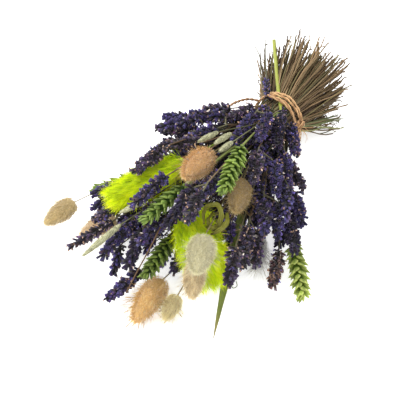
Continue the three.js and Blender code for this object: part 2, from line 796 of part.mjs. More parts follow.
const groups = {};
heads.forEach((head, i) => {
  if (head.host) return;
  if (!groups[head.kind]) {
    groups[head.kind] = new THREE.Group();
    bunch.add(groups[head.kind]);
  }
  const { color, roughness } = KINDS[head.kind];
  const shoot = heads.find((other) => other.host === head);
  const pressed = Math.min(head.base.z, head.tip.z) < head.radius;
  if (shoot) {
    const pair = largestBody(flatBelow(forkedPair(head, shoot, 100 + i)));
    add(groups[head.kind], head.name, geometryOf(pair), color, roughness);
    return;
  }
  const shape = SHAPES[head.kind](head, 100 + i);
  if (pressed) {
    const laid = flatBelow(solidOf(shape.applyMatrix4(placeOf(head))));
    add(groups[head.kind], head.name, geometryOf(laid), color, roughness);
    return;
  }
  const mesh = add(groups[head.kind], head.name, shape, color, roughness);
  placeOf(head).decompose(mesh.position, mesh.quaternion, mesh.scale);
});
add(bunch, "stems", geometryOf(stemBundle(heads)), 0x7a6a4c, 0.9);
add(bunch, "green_straw", geometryOf(solidOf(rod(strawCurve, STRAW_RADIUS, 6, 8))), 0xa3b84e, 0.6);
add(bunch, "twine", geometryOf(twine()), 0xa3764c, 0.9);

// The origin is under the middle of the bunch, on the table
const box = new THREE.Box3().setFromObject(bunch);
bunch.position.set(-(box.min.x + box.max.x) / 2, -(box.min.y + box.max.y) / 2, -box.min.z);

export default bunch;
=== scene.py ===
import math
from collections import namedtuple

import bpy
import numpy as np
from mathutils import Matrix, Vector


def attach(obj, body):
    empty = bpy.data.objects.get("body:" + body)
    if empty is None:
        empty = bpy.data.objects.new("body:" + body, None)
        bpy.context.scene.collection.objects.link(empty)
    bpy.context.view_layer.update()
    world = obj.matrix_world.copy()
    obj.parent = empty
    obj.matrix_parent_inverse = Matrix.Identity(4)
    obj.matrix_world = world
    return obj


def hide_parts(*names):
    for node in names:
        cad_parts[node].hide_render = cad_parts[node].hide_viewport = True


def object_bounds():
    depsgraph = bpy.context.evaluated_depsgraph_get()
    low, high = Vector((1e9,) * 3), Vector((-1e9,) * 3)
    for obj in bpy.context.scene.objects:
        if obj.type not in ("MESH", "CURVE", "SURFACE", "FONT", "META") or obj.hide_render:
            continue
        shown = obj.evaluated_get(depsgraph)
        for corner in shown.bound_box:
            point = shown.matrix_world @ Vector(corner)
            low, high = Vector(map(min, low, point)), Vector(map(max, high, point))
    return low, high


# The looks of a tied bunch of dried flowers that lies on its side: lavender, bunny-tail grass, wheat,
# canary grass, two dyed plumes, a grass blade and a curled bract. Sizes here are in millimetres, in
# the part's own frame, and meshes are made in metres.

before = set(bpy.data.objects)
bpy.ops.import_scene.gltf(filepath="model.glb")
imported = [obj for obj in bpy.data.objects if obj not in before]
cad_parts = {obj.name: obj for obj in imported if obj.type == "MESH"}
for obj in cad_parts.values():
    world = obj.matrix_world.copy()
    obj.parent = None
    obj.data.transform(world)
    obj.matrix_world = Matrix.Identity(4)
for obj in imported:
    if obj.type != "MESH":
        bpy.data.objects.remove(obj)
solid_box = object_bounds()

# The neck, where the raffia ties the stems, and the way that the bunch points
TIE = np.array([-25.956, 84.98, 35.0])
NECK_RADIUS = 20.6
NECK_HALF = 9.0
TO_HEADS = np.array([0.0, -1.0, 0.0])
UP = np.array([0.0, 0.0, 1.0])
GOLDEN_ANGLE = math.pi * (3 - math.sqrt(5))

# The photograph's view: where the camera stands, and the pixel that the tie falls on
AZIMUTH = 36
ELEVATION = 38
TIE_PIXEL = (277, 118)
PICTURE = 400
FOCAL_PIXELS = 753
TIE_DEPTH = 680
SENSOR = 36

# Each kind of head: its widest radius and how wide its foot is, as a share of that
KINDS = {
    "lavender": (6.1, 0.42),
    "bunny_tail": (10.0, 0.3),
    "wheat_ear": (7.6, 0.35),
    "canary_grass": (3.0, 0.4),
    "lime_plume": (15.0, 0.35),
}
STEM_NECK = 9.0
TIP_OFF_AXIS = 0.45
LAVENDER_WIDEST = 6.6
# Thinner spikes, behind which the photograph shows a bunny tail and a wheat ear
SLIM_PLANTS = {"lavender_23": 0.72, "lavender_24": 0.74}

# Nothing dips below this height over the table, or stands farther out of the solids' box than this share
TABLE = 0.05
PROUD = 0.025
TO_METRES = 0.001
TO_MILLIMETRES = 1000
BOX_LOW, BOX_HIGH = (np.array(corner) * TO_MILLIMETRES for corner in solid_box)
# How far the grain of a copy is shifted at most, so that no two look alike
GRAIN_SHIFT = 50

Shape = namedtuple("Shape", "places faces")
Head = namedtuple("Head", "node kind foot axis length radius")


# Colours and small sums

def srgb(red, green, blue):
    """A colour as seen on a screen, 0 to 255, as the renderer counts light."""
    shares = np.array([red, green, blue]) / 255
    return np.where(shares <= 0.04045, shares / 12.92, ((shares + 0.055) / 1.055) ** 2.4)


def unit(vector):
    return vector / np.linalg.norm(vector, axis=-1, keepdims=True)


def lerp(low, high, share):
    return low + (high - low) * share


def blend(low, high, share):
    """Mixes two colours by an array of shares."""
    return low + (high - low) * np.clip(np.asarray(share), 0, 1)[..., None]


def facing(along, outward):
    """Turns for copies: Y points along, and Z as near outward as that allows."""
    y = unit(along)
    x = unit(np.cross(y, outward))
    return np.stack([x, y, np.cross(x, y)], axis=-1)


def swung(first, second, angle):
    """Directions at angles from the first towards the second."""
    return np.cos(angle)[..., None] * first + np.sin(angle)[..., None] * second


def directions(axis):
    """A head's own X, Y and Z: Y along it, Z as near to upright as that allows."""
    return facing(axis, UP)


def photo_view():
    """The photograph's own X, Y and Z, as columns, and where its camera stands."""
    azimuth, elevation = math.radians(AZIMUTH), math.radians(ELEVATION)
    back = np.array([math.sin(azimuth) * math.cos(elevation), -math.cos(azimuth) * math.cos(elevation),
                     math.sin(elevation)])
    right = np.array([math.cos(azimuth), math.sin(azimuth), 0])
    above = np.cross(back, right)
    aside = (TIE_PIXEL[0] - PICTURE / 2) * TIE_DEPTH / FOCAL_PIXELS
    lift = (PICTURE / 2 - TIE_PIXEL[1]) * TIE_DEPTH / FOCAL_PIXELS
    return np.column_stack([right, above, back]), TIE + TIE_DEPTH * back - aside * right - lift * above


VIEW, CAMERA_PLACE = photo_view()


def photo_place(x, y, height):
    """The place at a height over the table that the photograph shows at a pixel."""
    way = VIEW @ np.array([(x - PICTURE / 2) / FOCAL_PIXELS, (PICTURE / 2 - y) / FOCAL_PIXELS, -1])
    return CAMERA_PLACE + way * (height - CAMERA_PLACE[2]) / way[2]


def tip_of(head):
    return head.foot + head.length * head.axis


# Collecting copies into one mesh

class Gather:
    """Copies of shapes, with a colour and a grain place for every point."""

    def __init__(self):
        self.places, self.faces, self.tints, self.grains = [], [], [], []
        self.count = 0

    def add(self, places, faces, tints, grains):
        self.places.append(places.reshape(-1, 3))
        self.tints.append(np.broadcast_to(tints, places.shape).reshape(-1, 3))
        self.grains.append(np.broadcast_to(grains, places.shape).reshape(-1, 3))
        self.faces.append(faces.reshape(-1, 3) + self.count)
        self.count += self.places[-1].shape[0]

    def copies(self, shape, turns, spots, tints, rng):
        """Places a copy of a shape at each spot. Turns may hold a size too."""
        places = np.einsum("kij,nj->kni", turns, shape.places) + spots[:, None]
        size = len(shape.places)
        faces = shape.faces[None] + (np.arange(len(spots)) * size)[:, None, None]
        offsets = rng.uniform(-GRAIN_SHIFT, GRAIN_SHIFT, (len(spots), 1, 3))
        self.add(places, faces, tints, shape.places[None] + offsets)

    def piece(self, name, material):
        """The finished piece, in metres and smooth all over."""
        mesh = bpy.data.meshes.new(name)
        spare = PROUD * (BOX_HIGH - BOX_LOW)
        places = np.clip(np.concatenate(self.places), BOX_LOW - spare, BOX_HIGH + spare)
        places[:, 2] = np.maximum(places[:, 2], TABLE)
        mesh.from_pydata(places * TO_METRES, [], np.concatenate(self.faces))
        tints = np.concatenate(self.tints)
        colour = mesh.color_attributes.new("tint", "FLOAT_COLOR", "POINT")
        colour.data.foreach_set("color", np.column_stack([tints, np.ones(len(tints))]).ravel())
        grain = mesh.attributes.new("grain", "FLOAT_VECTOR", "POINT")
        grain.data.foreach_set("vector", np.concatenate(self.grains).ravel())
        mesh.shade_smooth()
        mesh.materials.append(material)
        obj = bpy.data.objects.new(name, mesh)
        bpy.context.collection.objects.link(obj)
        return obj


def dress(gather, name, material, slot, *nodes):
    """Makes a gathered piece, has it ride with the bunch and replace its solids."""
    obj = gather.piece(name, material)
    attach(obj, "root")
    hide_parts(*nodes)


# Shapes that are modelled once and copied

def read_mesh(mesh):
    """A triangle mesh's points, and the three points of each face."""
    places = np.empty(len(mesh.vertices) * 3)
    mesh.vertices.foreach_get("co", places)
    return Shape(places.reshape(-1, 3), np.array([face.vertices[:] for face in mesh.polygons]))


def take_shape(obj):
    """Takes a modelled object's points and its faces, in a set order, and removes the object."""
    places, faces = read_mesh(obj.data)
    bpy.data.objects.remove(obj)
    least = faces.argmin(axis=1)[:, None]
    faces = np.take_along_axis(faces, (least + np.arange(3)) % 3, axis=1)
    return Shape(places, faces[np.lexsort(faces.T[::-1])])


def extruded(sides, rings):
    """A closed spindle along Y, extruded ring by ring. A ring is its height, half width and half depth."""
    bpy.ops.object.select_all(action="DESELECT")
    height, width, depth = rings[0]
    bpy.ops.mesh.primitive_circle_add(vertices=sides, radius=1, fill_type="NGON", location=(0, 0, 0))
    bpy.ops.object.mode_set(mode="EDIT")
    bpy.ops.mesh.select_all(action="SELECT")
    bpy.ops.transform.translate(value=(0, 0, height))
    bpy.ops.transform.resize(value=(width, depth, 1), center_override=(0, 0, height))
    for next_height, next_width, next_depth in rings[1:]:
        rise = (0, 0, next_height - height)
        bpy.ops.mesh.extrude_region_move(TRANSFORM_OT_translate={"value": rise})
        scale = (next_width / width, next_depth / depth, 1)
        bpy.ops.transform.resize(value=scale, center_override=(0, 0, next_height))
        height, width, depth = next_height, next_width, next_depth
    bpy.ops.mesh.select_all(action="SELECT")
    bpy.ops.mesh.normals_make_consistent(inside=False)
    bpy.ops.mesh.quads_convert_to_tris(quad_method="BEAUTY", ngon_method="BEAUTY")
    bpy.ops.object.mode_set(mode="OBJECT")
    places, faces = take_shape(bpy.context.object)
    return Shape(np.column_stack([places[:, 0], places[:, 2], -places[:, 1]]), faces)


def ribbed(shape, sides, depth):
    """Pulls every second side of a spindle in, so that it has ribs."""
    places = shape.places.copy()
    angle = np.arctan2(places[:, 2], places[:, 0])
    pull = 1 - depth * (0.5 - 0.5 * np.cos(angle * sides / 2))
    places[:, 0] *= pull
    places[:, 2] *= pull
    return Shape(places, shape.faces)


def bowed(shape, bend):
    """Bends a shape's upper part back towards -Z."""
    places = shape.places.copy()
    places[:, 2] -= bend * (places[:, 1] / places[:, 1].max()) ** 2
    return Shape(places, shape.faces)


# Lavender's calyx, a plainer one for the added spikes, and its petal
CALYX = ribbed(extruded(6, [(0, 0.35, 0.35), (1.9, 0.98, 0.98), (4.2, 1.08, 1.08), (5.6, 1.12, 1.12),
                            (4.4, 0.4, 0.4)]), 6, 0.24)
PLAIN_CALYX = extruded(4, [(0, 0.4, 0.4), (3.4, 1.1, 1.1), (5.5, 0.9, 0.9)])
PETAL = bowed(extruded(4, [(0, 0.25, 0.2), (1.7, 0.9, 0.22), (3.1, 0.3, 0.1)]), 0.9)
# A wheat husk, and a canary grass scale
HUSK = bowed(ribbed(extruded(8, [(0, 0.7, 0.5), (1.6, 1.85, 1.1), (4.0, 2.35, 1.35), (6.4, 1.8, 1.0),
                                 (8.2, 0.8, 0.5), (9.6, 0.12, 0.1)]), 8, 0.12), -1.0)
SCALE = bowed(extruded(6, [(0, 0.4, 0.3), (1.3, 1.1, 0.42), (2.8, 0.95, 0.36), (4.4, 0.1, 0.08)]), -0.25)
# The plain body inside a head, of length and radius 1
CORE = extruded(12, [(0.0, 0.3, 0.3), (0.06, 0.62, 0.62), (0.16, 0.88, 0.88), (0.32, 1.0, 1.0),
                     (0.5, 0.98, 0.98), (0.68, 0.84, 0.84), (0.84, 0.58, 0.58), (0.95, 0.28, 0.28),
                     (1.0, 0.05, 0.05)])


def add_core(gather, head, width, length, tint, flat=1.0):
    """The plain body inside a head, its width and length as shares of the head's."""
    core = CORE.places * [width * head.radius, length * head.length, width * head.radius * flat]
    gather.add(head.foot + core @ directions(head.axis).T, CORE.faces, tint, core)


# Reading where the frame's heads lie

# Faces lie in one plane where their normals are this near to each other, and their middles to the plane
SAME_WAY = 0.9995
SAME_PLANE = 0.03
# A foot has at least so many faces and so much area, reaches no farther, and fills its circle this far
FOOT_FACES = 5
FOOT_AREA = 0.9
FOOT_REACH = 1.4
FOOT_FILLED = 0.33
# A head's radius is measured along its middle, between these shares of its length
HEAD_MIDDLE = (0.2, 0.8)
HEAD_PERCENTILE = 92


def triangles_of(node):
    """The corners of each triangle of a node's solid."""
    places, faces = read_mesh(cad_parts[node].data)
    return places[faces] * TO_MILLIMETRES


def points_of(triangles):
    """The corners of triangles, each of them once."""
    return np.unique(triangles.reshape(-1, 3).round(3), axis=0)


def feet_of(triangles, foot_radius):
    """The flat feet of the heads in a node, each as its middle and the way its head points."""
    normals = np.cross(triangles[:, 1] - triangles[:, 0], triangles[:, 2] - triangles[:, 0])
    doubled = np.linalg.norm(normals, axis=1)
    normals = normals / np.maximum(doubled, 1e-9)[:, None]
    middles = triangles.mean(axis=1)
    left = doubled > 1e-4
    feet = []
    for i in range(len(triangles)):
        on_table = normals[i][2] < -0.999 and middles[i][2] < TABLE
        if on_table or not left[i]:
            continue
        flat = left & (normals @ normals[i] > SAME_WAY)
        flat &= np.abs((middles - middles[i]) @ normals[i]) < SAME_PLANE
        flat &= np.linalg.norm(middles - middles[i], axis=1) < 2 * foot_radius
        left[i] = False
        area = doubled[flat].sum() / 2
        if flat.sum() < FOOT_FACES or area < FOOT_AREA * foot_radius ** 2:
            continue
        left[flat] = False
        corners = points_of(triangles[flat])
        middle = (corners.min(axis=0) + corners.max(axis=0)) / 2
        middle = lerp(middle, corners.mean(axis=0), 0.5)
        reach = np.linalg.norm(corners - middle, axis=1).max()
        if reach < FOOT_REACH * foot_radius and area > FOOT_FILLED * math.pi * reach ** 2:
            feet.append((middle, -normals[i]))
    return feet


def heads_of(node, kind):
    """The heads of a plant, found by their feet."""
    radius, foot_share = KINDS[kind]
    triangles = triangles_of(node)
    points = points_of(triangles)
    heads = []
    for foot, axis in feet_of(triangles, radius * foot_share):
        along = (points - foot) @ axis
        away = np.linalg.norm(points - foot - along[:, None] * axis, axis=1)
        beyond = along > 0.9 * radius
        if away[beyond].min(initial=TIP_OFF_AXIS) >= TIP_OFF_AXIS:
            continue
        length = along[beyond][np.argmin(away[beyond])]
        low, high = (share * length for share in HEAD_MIDDLE)
        middle = (along > low) & (along < high) & (away < 1.3 * radius)
        wide = np.percentile(away[middle], HEAD_PERCENTILE)
        if kind == "lavender":
            wide = min(wide, LAVENDER_WIDEST) * SLIM_PLANTS.get(node, 1.0)
        heads.append(Head(node, kind, foot, axis, length, wide))
    return heads


def main_first(heads, points):
    """Puts the head whose own stem carries the other first."""
    def to_fork(head):
        fork = head.foot - STEM_NECK * head.axis
        return np.linalg.norm(points - fork, axis=1).min()
    return sorted(heads, key=to_fork)


def read_plants():
    """Every plant with a head: its node's heads, the one that its stem runs to first."""
    plants = {}
    for node in sorted(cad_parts):
        kind = node.rsplit("_", 1)[0]
        if kind in KINDS:
            heads = heads_of(node, kind)
            points = triangles_of(node).reshape(-1, 3)
            plants[node] = main_first(heads, points)
    return plants


# Finishes

# The noise's detail and roughness, the values between which nearly all of it lies, and the relief's depth in
# metres
NOISE_DETAIL = 3.0
NOISE_ROUGHNESS = 0.6
NOISE_LOW = 0.3
NOISE_HIGH = 0.7
RELIEF_DEPTH = 0.0004


def add_node(tree, kind, **values):
    node = tree.nodes.new(kind)
    for name, value in values.items():
        setattr(node, name, value)
    return node


def noise(tree, vector, scale):
    texture = add_node(tree, "ShaderNodeTexNoise")
    texture.inputs["Scale"].default_value = scale
    texture.inputs["Detail"].default_value = NOISE_DETAIL
    texture.inputs["Roughness"].default_value = NOISE_ROUGHNESS
    tree.links.new(vector, texture.inputs["Vector"])
    return texture.outputs["Fac"]


def dry_plant(name, mottle, bump, roughness, gloss, sheen=0.0):
    """A dry plant's finish. Mottle, of its own tints, and bump are each a strength and a scale."""
    material = bpy.data.materials.new(name)
    material.use_nodes = True
    tree = material.node_tree
    shader = tree.nodes["Principled BSDF"]
    tint = add_node(tree, "ShaderNodeAttribute", attribute_name="tint")
    grain = add_node(tree, "ShaderNodeAttribute", attribute_name="grain")
    light = add_node(tree, "ShaderNodeMapRange")
    light.inputs["From Min"].default_value = NOISE_LOW
    light.inputs["From Max"].default_value = NOISE_HIGH
    light.inputs["To Min"].default_value = 1 - mottle[0]
    light.inputs["To Max"].default_value = 1 + mottle[0]
    tree.links.new(noise(tree, grain.outputs["Vector"], mottle[1]), light.inputs["Value"])
    colour = add_node(tree, "ShaderNodeVectorMath", operation="SCALE")
    tree.links.new(tint.outputs["Color"], colour.inputs[0])
    tree.links.new(light.outputs["Result"], colour.inputs["Scale"])
    tree.links.new(colour.outputs["Vector"], shader.inputs["Base Color"])
    relief = add_node(tree, "ShaderNodeBump")
    relief.inputs["Strength"].default_value = bump[0]
    relief.inputs["Distance"].default_value = RELIEF_DEPTH
    tree.links.new(noise(tree, grain.outputs["Vector"], bump[1]), relief.inputs["Height"])
    tree.links.new(relief.outputs["Normal"], shader.inputs["Normal"])
    shader.inputs["Roughness"].default_value = roughness
    shader.inputs["Specular IOR Level"].default_value = gloss
    shader.inputs["Sheen Weight"].default_value = sheen
    shader.inputs["Sheen Roughness"].default_value = 0.5
    return material


def lavender_felt():
    return dry_plant("lavender_felt", (0.35, 0.9), (0.5, 3.0), roughness=0.85, gloss=0.25, sheen=0.12)


def bunny_down():
    return dry_plant("bunny_down", (0.1, 0.6), (0.1, 2.0), roughness=0.9, gloss=0.1, sheen=0.45)


def wheat_skin():
    return dry_plant("wheat_skin", (0.16, 0.7), (0.4, 2.2), roughness=0.55, gloss=0.4)


def canary_skin():
    return dry_plant("canary_skin", (0.15, 0.8), (0.3, 2.5), roughness=0.7, gloss=0.3)


def dyed_fibre():
    return dry_plant("dyed_fibre", (0.16, 0.5), (0.1, 2.0), roughness=0.6, gloss=0.3, sheen=0.1)


def leaf_skin():
    return dry_plant("leaf_skin", (0.25, 0.9), (0.5, 2.2), roughness=0.55, gloss=0.4)


def stem_bark():
    return dry_plant("stem_bark", (0.3, 0.8), (0.6, 2.4), roughness=0.8, gloss=0.25)


def straw_skin():
    return dry_plant("straw_skin", (0.12, 0.6), (0.3, 2.0), roughness=0.4, gloss=0.5)


def raffia():
    return dry_plant("raffia", (0.3, 0.9), (0.7, 2.6), roughness=0.75, gloss=0.3, sheen=0.1)


# Lavender spikes

# The calyces' colours: at the foot, along the tube and at the mouth
LAVENDER_MOODS = {
    "fresh": [srgb(35, 30, 35), srgb(41, 34, 70), srgb(78, 68, 117)],
    "dusky": [srgb(28, 23, 27), srgb(31, 25, 45), srgb(54, 45, 75)],
    "faded": [srgb(50, 43, 42), srgb(44, 37, 56), srgb(82, 71, 94)],
    "brown": [srgb(40, 29, 30), srgb(50, 37, 46), srgb(98, 72, 66)],
}
# Some calyces of every spike are grey
GREY_CALYX = [srgb(39, 34, 33), srgb(47, 40, 43), srgb(80, 70, 72)]
GREY_SHARE = 0.15
# The share of a spike's calyces that hold dried petals
LAVENDER_DRIED = {"fresh": 0.23, "dusky": 0.15, "faded": 0.45, "brown": 0.75}
# Two spikes whose colours the photograph shows plainly
SPECIAL_MOODS = {"lavender_09": "brown", "lavender_10": "faded"}
# Where the faded ones lie, in the photograph: this far left of the tie, and no farther below it
FADED_LEFT = -62
FADED_BELOW = -36
PETAL_TINTS = np.array([srgb(190, 160, 138), srgb(164, 130, 110), srgb(226, 214, 202), srgb(130, 104, 124),
                        srgb(98, 86, 146), srgb(176, 140, 114), srgb(118, 92, 78), srgb(86, 78, 150)])
CALYX_LENGTH = 5.6
# How far up a calyx its petals start
CALYX_MOUTH = 4.9
# The calyces' lean from the axis and their share, each at the spike's foot and at its tip
CALYX_LEAN = (66, 22)
CALYCES_KEPT = (0.97, 0.6)
WHORL_STEP = 2.7
WHORL_TWIST = 0.42
WHORL_SIZE = 8
PLAIN_WHORL_SIZE = 6
PETALS_EACH = 3
PETAL_SHARE = 0.7


def mood_of(head, rng):
    """A spike's colours: mostly faded at the photograph's upper left, mostly fresh elsewhere."""
    if head.node in SPECIAL_MOODS:
        return SPECIAL_MOODS[head.node]
    right, above = ((head.foot - TIE) @ VIEW)[:2]
    if right < FADED_LEFT and above > FADED_BELOW:
        return rng.choice(["faded", "faded", "fresh"])
    return rng.choice(["fresh", "fresh", "fresh", "dusky", "faded"])


def along_tint(shape, tints):
    """Colours a shape from its foot over its middle to its mouth. What lies inside the mouth is darkened:
    painted shade.
    """
    height = shape.places[:, 1]
    share = height / height.max()
    lower = blend(tints[0], tints[1], share * 1.6)
    tube = blend(lower, tints[2], share * 3.2 - 2.2)
    across = np.linalg.norm(shape.places[:, [0, 2]], axis=1)
    # Inside the mouth: the foot's colour, much darker, as painted shade
    inside = (share > 0.6) & (across < 0.62)
    return np.where(inside[:, None], tints[0] * 0.35, tube)


def calyx_tints(calyx, mood, count, rng):
    """Colours for a spike's calyces, each lighter or darker than the next, a few of them grey."""
    grey = rng.random(count) < GREY_SHARE
    own, dull = (along_tint(calyx, tints) for tints in (LAVENDER_MOODS[mood], GREY_CALYX))
    tints = np.where(grey[:, None, None], dull, own)
    return tints * rng.lognormal(-0.1, 0.46, (count, 1, 1)) * rng.lognormal(0, 0.1, (count, 1, 3))


def whorls(rings, around, rng):
    """Where a spike's calyces grow: their shares of its length, and their angles round it."""
    u = np.repeat((np.arange(rings) + 0.35) / rings, around)
    angle = np.tile(np.arange(around), rings) * 2 * math.pi / around
    angle = angle + np.repeat(np.arange(rings), around) * WHORL_TWIST
    kept = rng.random(len(u)) < lerp(*CALYCES_KEPT, u ** 3)
    u = np.clip(u[kept] + rng.normal(0, 0.016, kept.sum()), 0.01, 1)
    return u, angle[kept] + rng.normal(0, 0.24, kept.sum())


def lavender_spike(gather, head, mood, rng, calyx=CALYX, around=WHORL_SIZE):
    """Whorls of calyces round a thin axis, with dried petals at the mouths of some."""
    own = directions(head.axis)
    rings = int(head.length / WHORL_STEP)
    u, angle = whorls(rings, around, rng)
    count = len(u)
    lean = np.radians(lerp(*CALYX_LEAN, u ** 1.3) + rng.normal(0, 11, count))
    bunched = 1 + 0.09 * np.sin(u * rings * 2.1 + rng.uniform(0, 6))
    swell = (lerp(0.82, 1.0, np.sin(math.pi * u)) - 0.36 * u ** 4) * bunched
    reach = head.radius * swell * rng.uniform(0.78, 1.12, count)
    size = np.clip((reach - 0.5) / (CALYX_LENGTH * np.maximum(np.sin(lean), 0.3)), 0.62, 1.12)
    outward = swung(own[:, 0], own[:, 2], angle)
    along = swung(head.axis, outward, lean)
    rise = u * head.length - size * CALYX_LENGTH * np.cos(lean) * lerp(0.4, 1.0, u)
    rise = np.clip(rise, 0.2, None)
    spots = head.foot + rise[:, None] * head.axis + 0.5 * outward
    turns = facing(along, outward + rng.normal(0, 0.5, (count, 3)))
    gather.copies(calyx, turns * size[:, None, None], spots, calyx_tints(calyx, mood, count, rng), rng)
    opened = rng.random(count) < LAVENDER_DRIED[mood] * lerp(1.3, 0.7, u) * around / WHORL_SIZE
    mouths = spots + along * (size * CALYX_MOUTH)[:, None]
    dried_petals(gather, mouths[opened], along[opened], rng)
    # The axis: the calyx foot's colour, much darkened, partly painted shade between the calyces
    add_core(gather, head, 0.34, 0.93, LAVENDER_MOODS[mood][0] * 0.4)


def dried_petals(gather, mouths, along, rng):
    """Up to three crumpled petals at each mouth."""
    for _ in range(PETALS_EACH):
        some = rng.random(len(mouths)) < PETAL_SHARE
        count = some.sum()
        if not count:
            continue
        ways = along[some] + rng.normal(0, 0.6, (count, 3))
        turns = facing(ways, rng.normal(0, 1, (count, 3)))
        size = rng.uniform(0.4, 0.85, (count, 1, 1))
        tints = PETAL_TINTS[rng.integers(0, len(PETAL_TINTS), count)][:, None]
        gather.copies(PETAL, turns * size, mouths[some], tints * rng.lognormal(0, 0.25, (count, 1, 1)), rng)


# Bunny tails

# Each tail's colours at its hairs' roots and tips, and its count of bristles. It has half as many long ones
BUNNY_TINTS = {
    "bunny_tail_01": (srgb(182, 140, 82), srgb(240, 202, 142), 300),
    "bunny_tail_02": (srgb(166, 136, 80), srgb(222, 196, 134), 300),
    "bunny_tail_03": (srgb(182, 176, 134), srgb(228, 222, 190), 300),
    "bunny_tail_04": (srgb(190, 165, 118), srgb(236, 220, 180), 260),
    "bunny_tail_05": (srgb(194, 154, 88), srgb(246, 214, 148), 520),
    "bunny_tail_06": (srgb(200, 176, 114), srgb(248, 236, 188), 320),
    "bunny_tail_07": (srgb(170, 144, 92), srgb(236, 216, 164), 220),
    "bunny_tail_08": (srgb(216, 184, 140), srgb(248, 230, 196), 220),
    "bunny_tail_09": (srgb(236, 234, 228), srgb(250, 249, 246), 1000),
}
# A tail whose body is thin, so that its bristles make up the shape
THIN_BODY = {"bunny_tail_09": 0.4}
# Tails whose long bristles are longer than the others'
BRISTLE_REACH = {"bunny_tail_05": 12.0, "bunny_tail_06": 10.0, "bunny_tail_09": 15.0}
DOWN_COUNT = 6400
# How much of a tail's length is bare, at its foot
BARE_FOOT = {"bunny_tail_03": 0.16}
BRISTLE_WHITE = srgb(250, 246, 234)
PALEST = 0.95
HAIR = Shape(np.array([[-0.5, 0, 0], [0.5, 0, 0], [0.3, 0.6, 0.08], [-0.1, 1, 0.2]]),
             np.array([[0, 1, 2], [0, 2, 3]]))
# A coat of hair: its length and thickness, its lean from the head's axis, how much its hairs stray from that,
# where along the head it starts and ends, how much its clumps stray, and how deep in the head its roots lie
Coat = namedtuple("Coat", "length thick lean stray low high clumped deep", defaults=(0.0, 0.97, 0.0, 0.0))
DOWN = Coat(3.0, 0.27, 46, high=1.0, stray=0.3, clumped=0.04, deep=0.24)
BRISTLES = Coat(6.4, 0.17, 48, low=0.1, stray=0.25, deep=0.3)
LONG_BRISTLES = Coat(9.6, 0.24, 54, low=0.3, stray=0.28)
# The clumps of a coat: how many along a head and round it
CLUMPS_ALONG = 15
CLUMPS_ROUND = 18
CLUMPS = CLUMPS_ALONG * CLUMPS_ROUND


def egg_width(u):
    """A bunny tail's width along its length, widest below its middle."""
    return np.sin(math.pi * (0.1 + 0.895 * np.asarray(u) ** 0.8)) ** 0.62


def hairs(gather, head, width_at, coat, count, tints, rng, flat=1.0):
    """Hairs that grow all over a head and lean to its tip, in clumps that differ in tone and lean."""
    own = directions(head.axis)
    u = lerp(coat.low, coat.high, rng.random(count))
    u = np.where(rng.random(count) < width_at(u), u, lerp(coat.low, coat.high, rng.random(count)))
    angle = rng.uniform(0, 2 * math.pi, count)
    clump = (u * CLUMPS_ALONG).astype(int) * CLUMPS_ROUND
    clump = clump + (angle * CLUMPS_ROUND / (2 * math.pi)).astype(int)
    outward = unit(swung(own[:, 0] * flat, own[:, 2], angle))
    surface = swung(own[:, 0], own[:, 2] * flat, angle)
    away = head.radius * width_at(u) * (1 - coat.deep * rng.random(count))
    spots = head.foot + (u * head.length)[:, None] * head.axis + away[:, None] * surface
    lean = coat.lean + 60 * coat.clumped * rng.normal(0, 1, CLUMPS)[clump]
    tilt = np.radians(rng.normal(lean, 9, count) * lerp(1.1, 0.5, u))
    ways = swung(head.axis, outward, tilt) + rng.normal(0, coat.stray, (count, 3))
    ways = ways + rng.normal(0, coat.clumped, (CLUMPS, 3))[clump]
    turns = facing(ways, outward + rng.normal(0, 0.16, (count, 3)))
    sizes = np.stack([coat.thick * rng.uniform(0.7, 1.3, count), coat.length * rng.uniform(0.6, 1.2, count),
                      coat.length * rng.uniform(-0.3, 0.6, count)], axis=-1)
    shades = lerp(*tints, HAIR.places[:, 1][None, :, None] ** 0.7)
    tone = rng.lognormal(0, coat.clumped, CLUMPS)[clump] * rng.lognormal(0, 0.12, count)
    shades = np.clip(shades * tone[:, None, None], 0, PALEST)
    gather.copies(HAIR, turns * sizes[:, None, :], spots, shades, rng)


def bunny_tail(gather, head, rng):
    """An egg of soft down, with pale bristles and longer dark ones."""
    root, tip, bristles = BUNNY_TINTS[head.node]
    bare = BARE_FOOT.get(head.node, 0.0) * head.length
    head = head._replace(foot=head.foot + bare * head.axis, length=head.length - bare,
                         radius=THIN_BODY.get(head.node, 1.0) * head.radius)
    add_core(gather, head, 0.66, 0.87, lerp(root, tip, 0.45))
    inner = head._replace(radius=head.radius * 0.86, length=head.length * 0.93)
    hairs(gather, inner, egg_width, DOWN, DOWN_COUNT, (lerp(root, tip, 0.15), tip), rng)
    pale = np.minimum(lerp(tip, BRISTLE_WHITE, 0.4), PALEST)
    hairs(gather, inner, egg_width, BRISTLES, bristles, (tip, pale), rng)
    longer = LONG_BRISTLES._replace(length=BRISTLE_REACH.get(head.node, LONG_BRISTLES.length))
    hairs(gather, inner, egg_width, longer, bristles // 2, (root * 0.7, root * 0.85), rng)


# Wheat ears

WHEAT_TINTS = {
    "wheat_ear_01": (srgb(50, 80, 12), srgb(154, 174, 82)),
    "wheat_ear_02": (srgb(88, 116, 24), srgb(194, 198, 112)),
    "wheat_ear_03": (srgb(56, 88, 20), srgb(160, 180, 92)),
    "wheat_ear_04": (srgb(74, 102, 26), srgb(160, 176, 84)),
    "wheat_ear_05": (srgb(44, 68, 14), srgb(128, 144, 66)),
}
SPIKELET_STEP = 3.9
# The ear's radius that a husk of full size fits, and the husks at the ear's tip
HUSK_FITS = 6.7
TOP_HUSKS = 4
TOP_HUSK_SIZE = 0.75
# How the husks of a spikelet are turned about the ear, lean out from it and start along it
WHEAT_FAN = np.array([-68, -33, 0, 33, 68])
WHEAT_LEAN = np.array([5, 8, 11, 8, 5])
WHEAT_RISE = np.array([0.0, 1.0, 1.8, 1.0, 0.0])


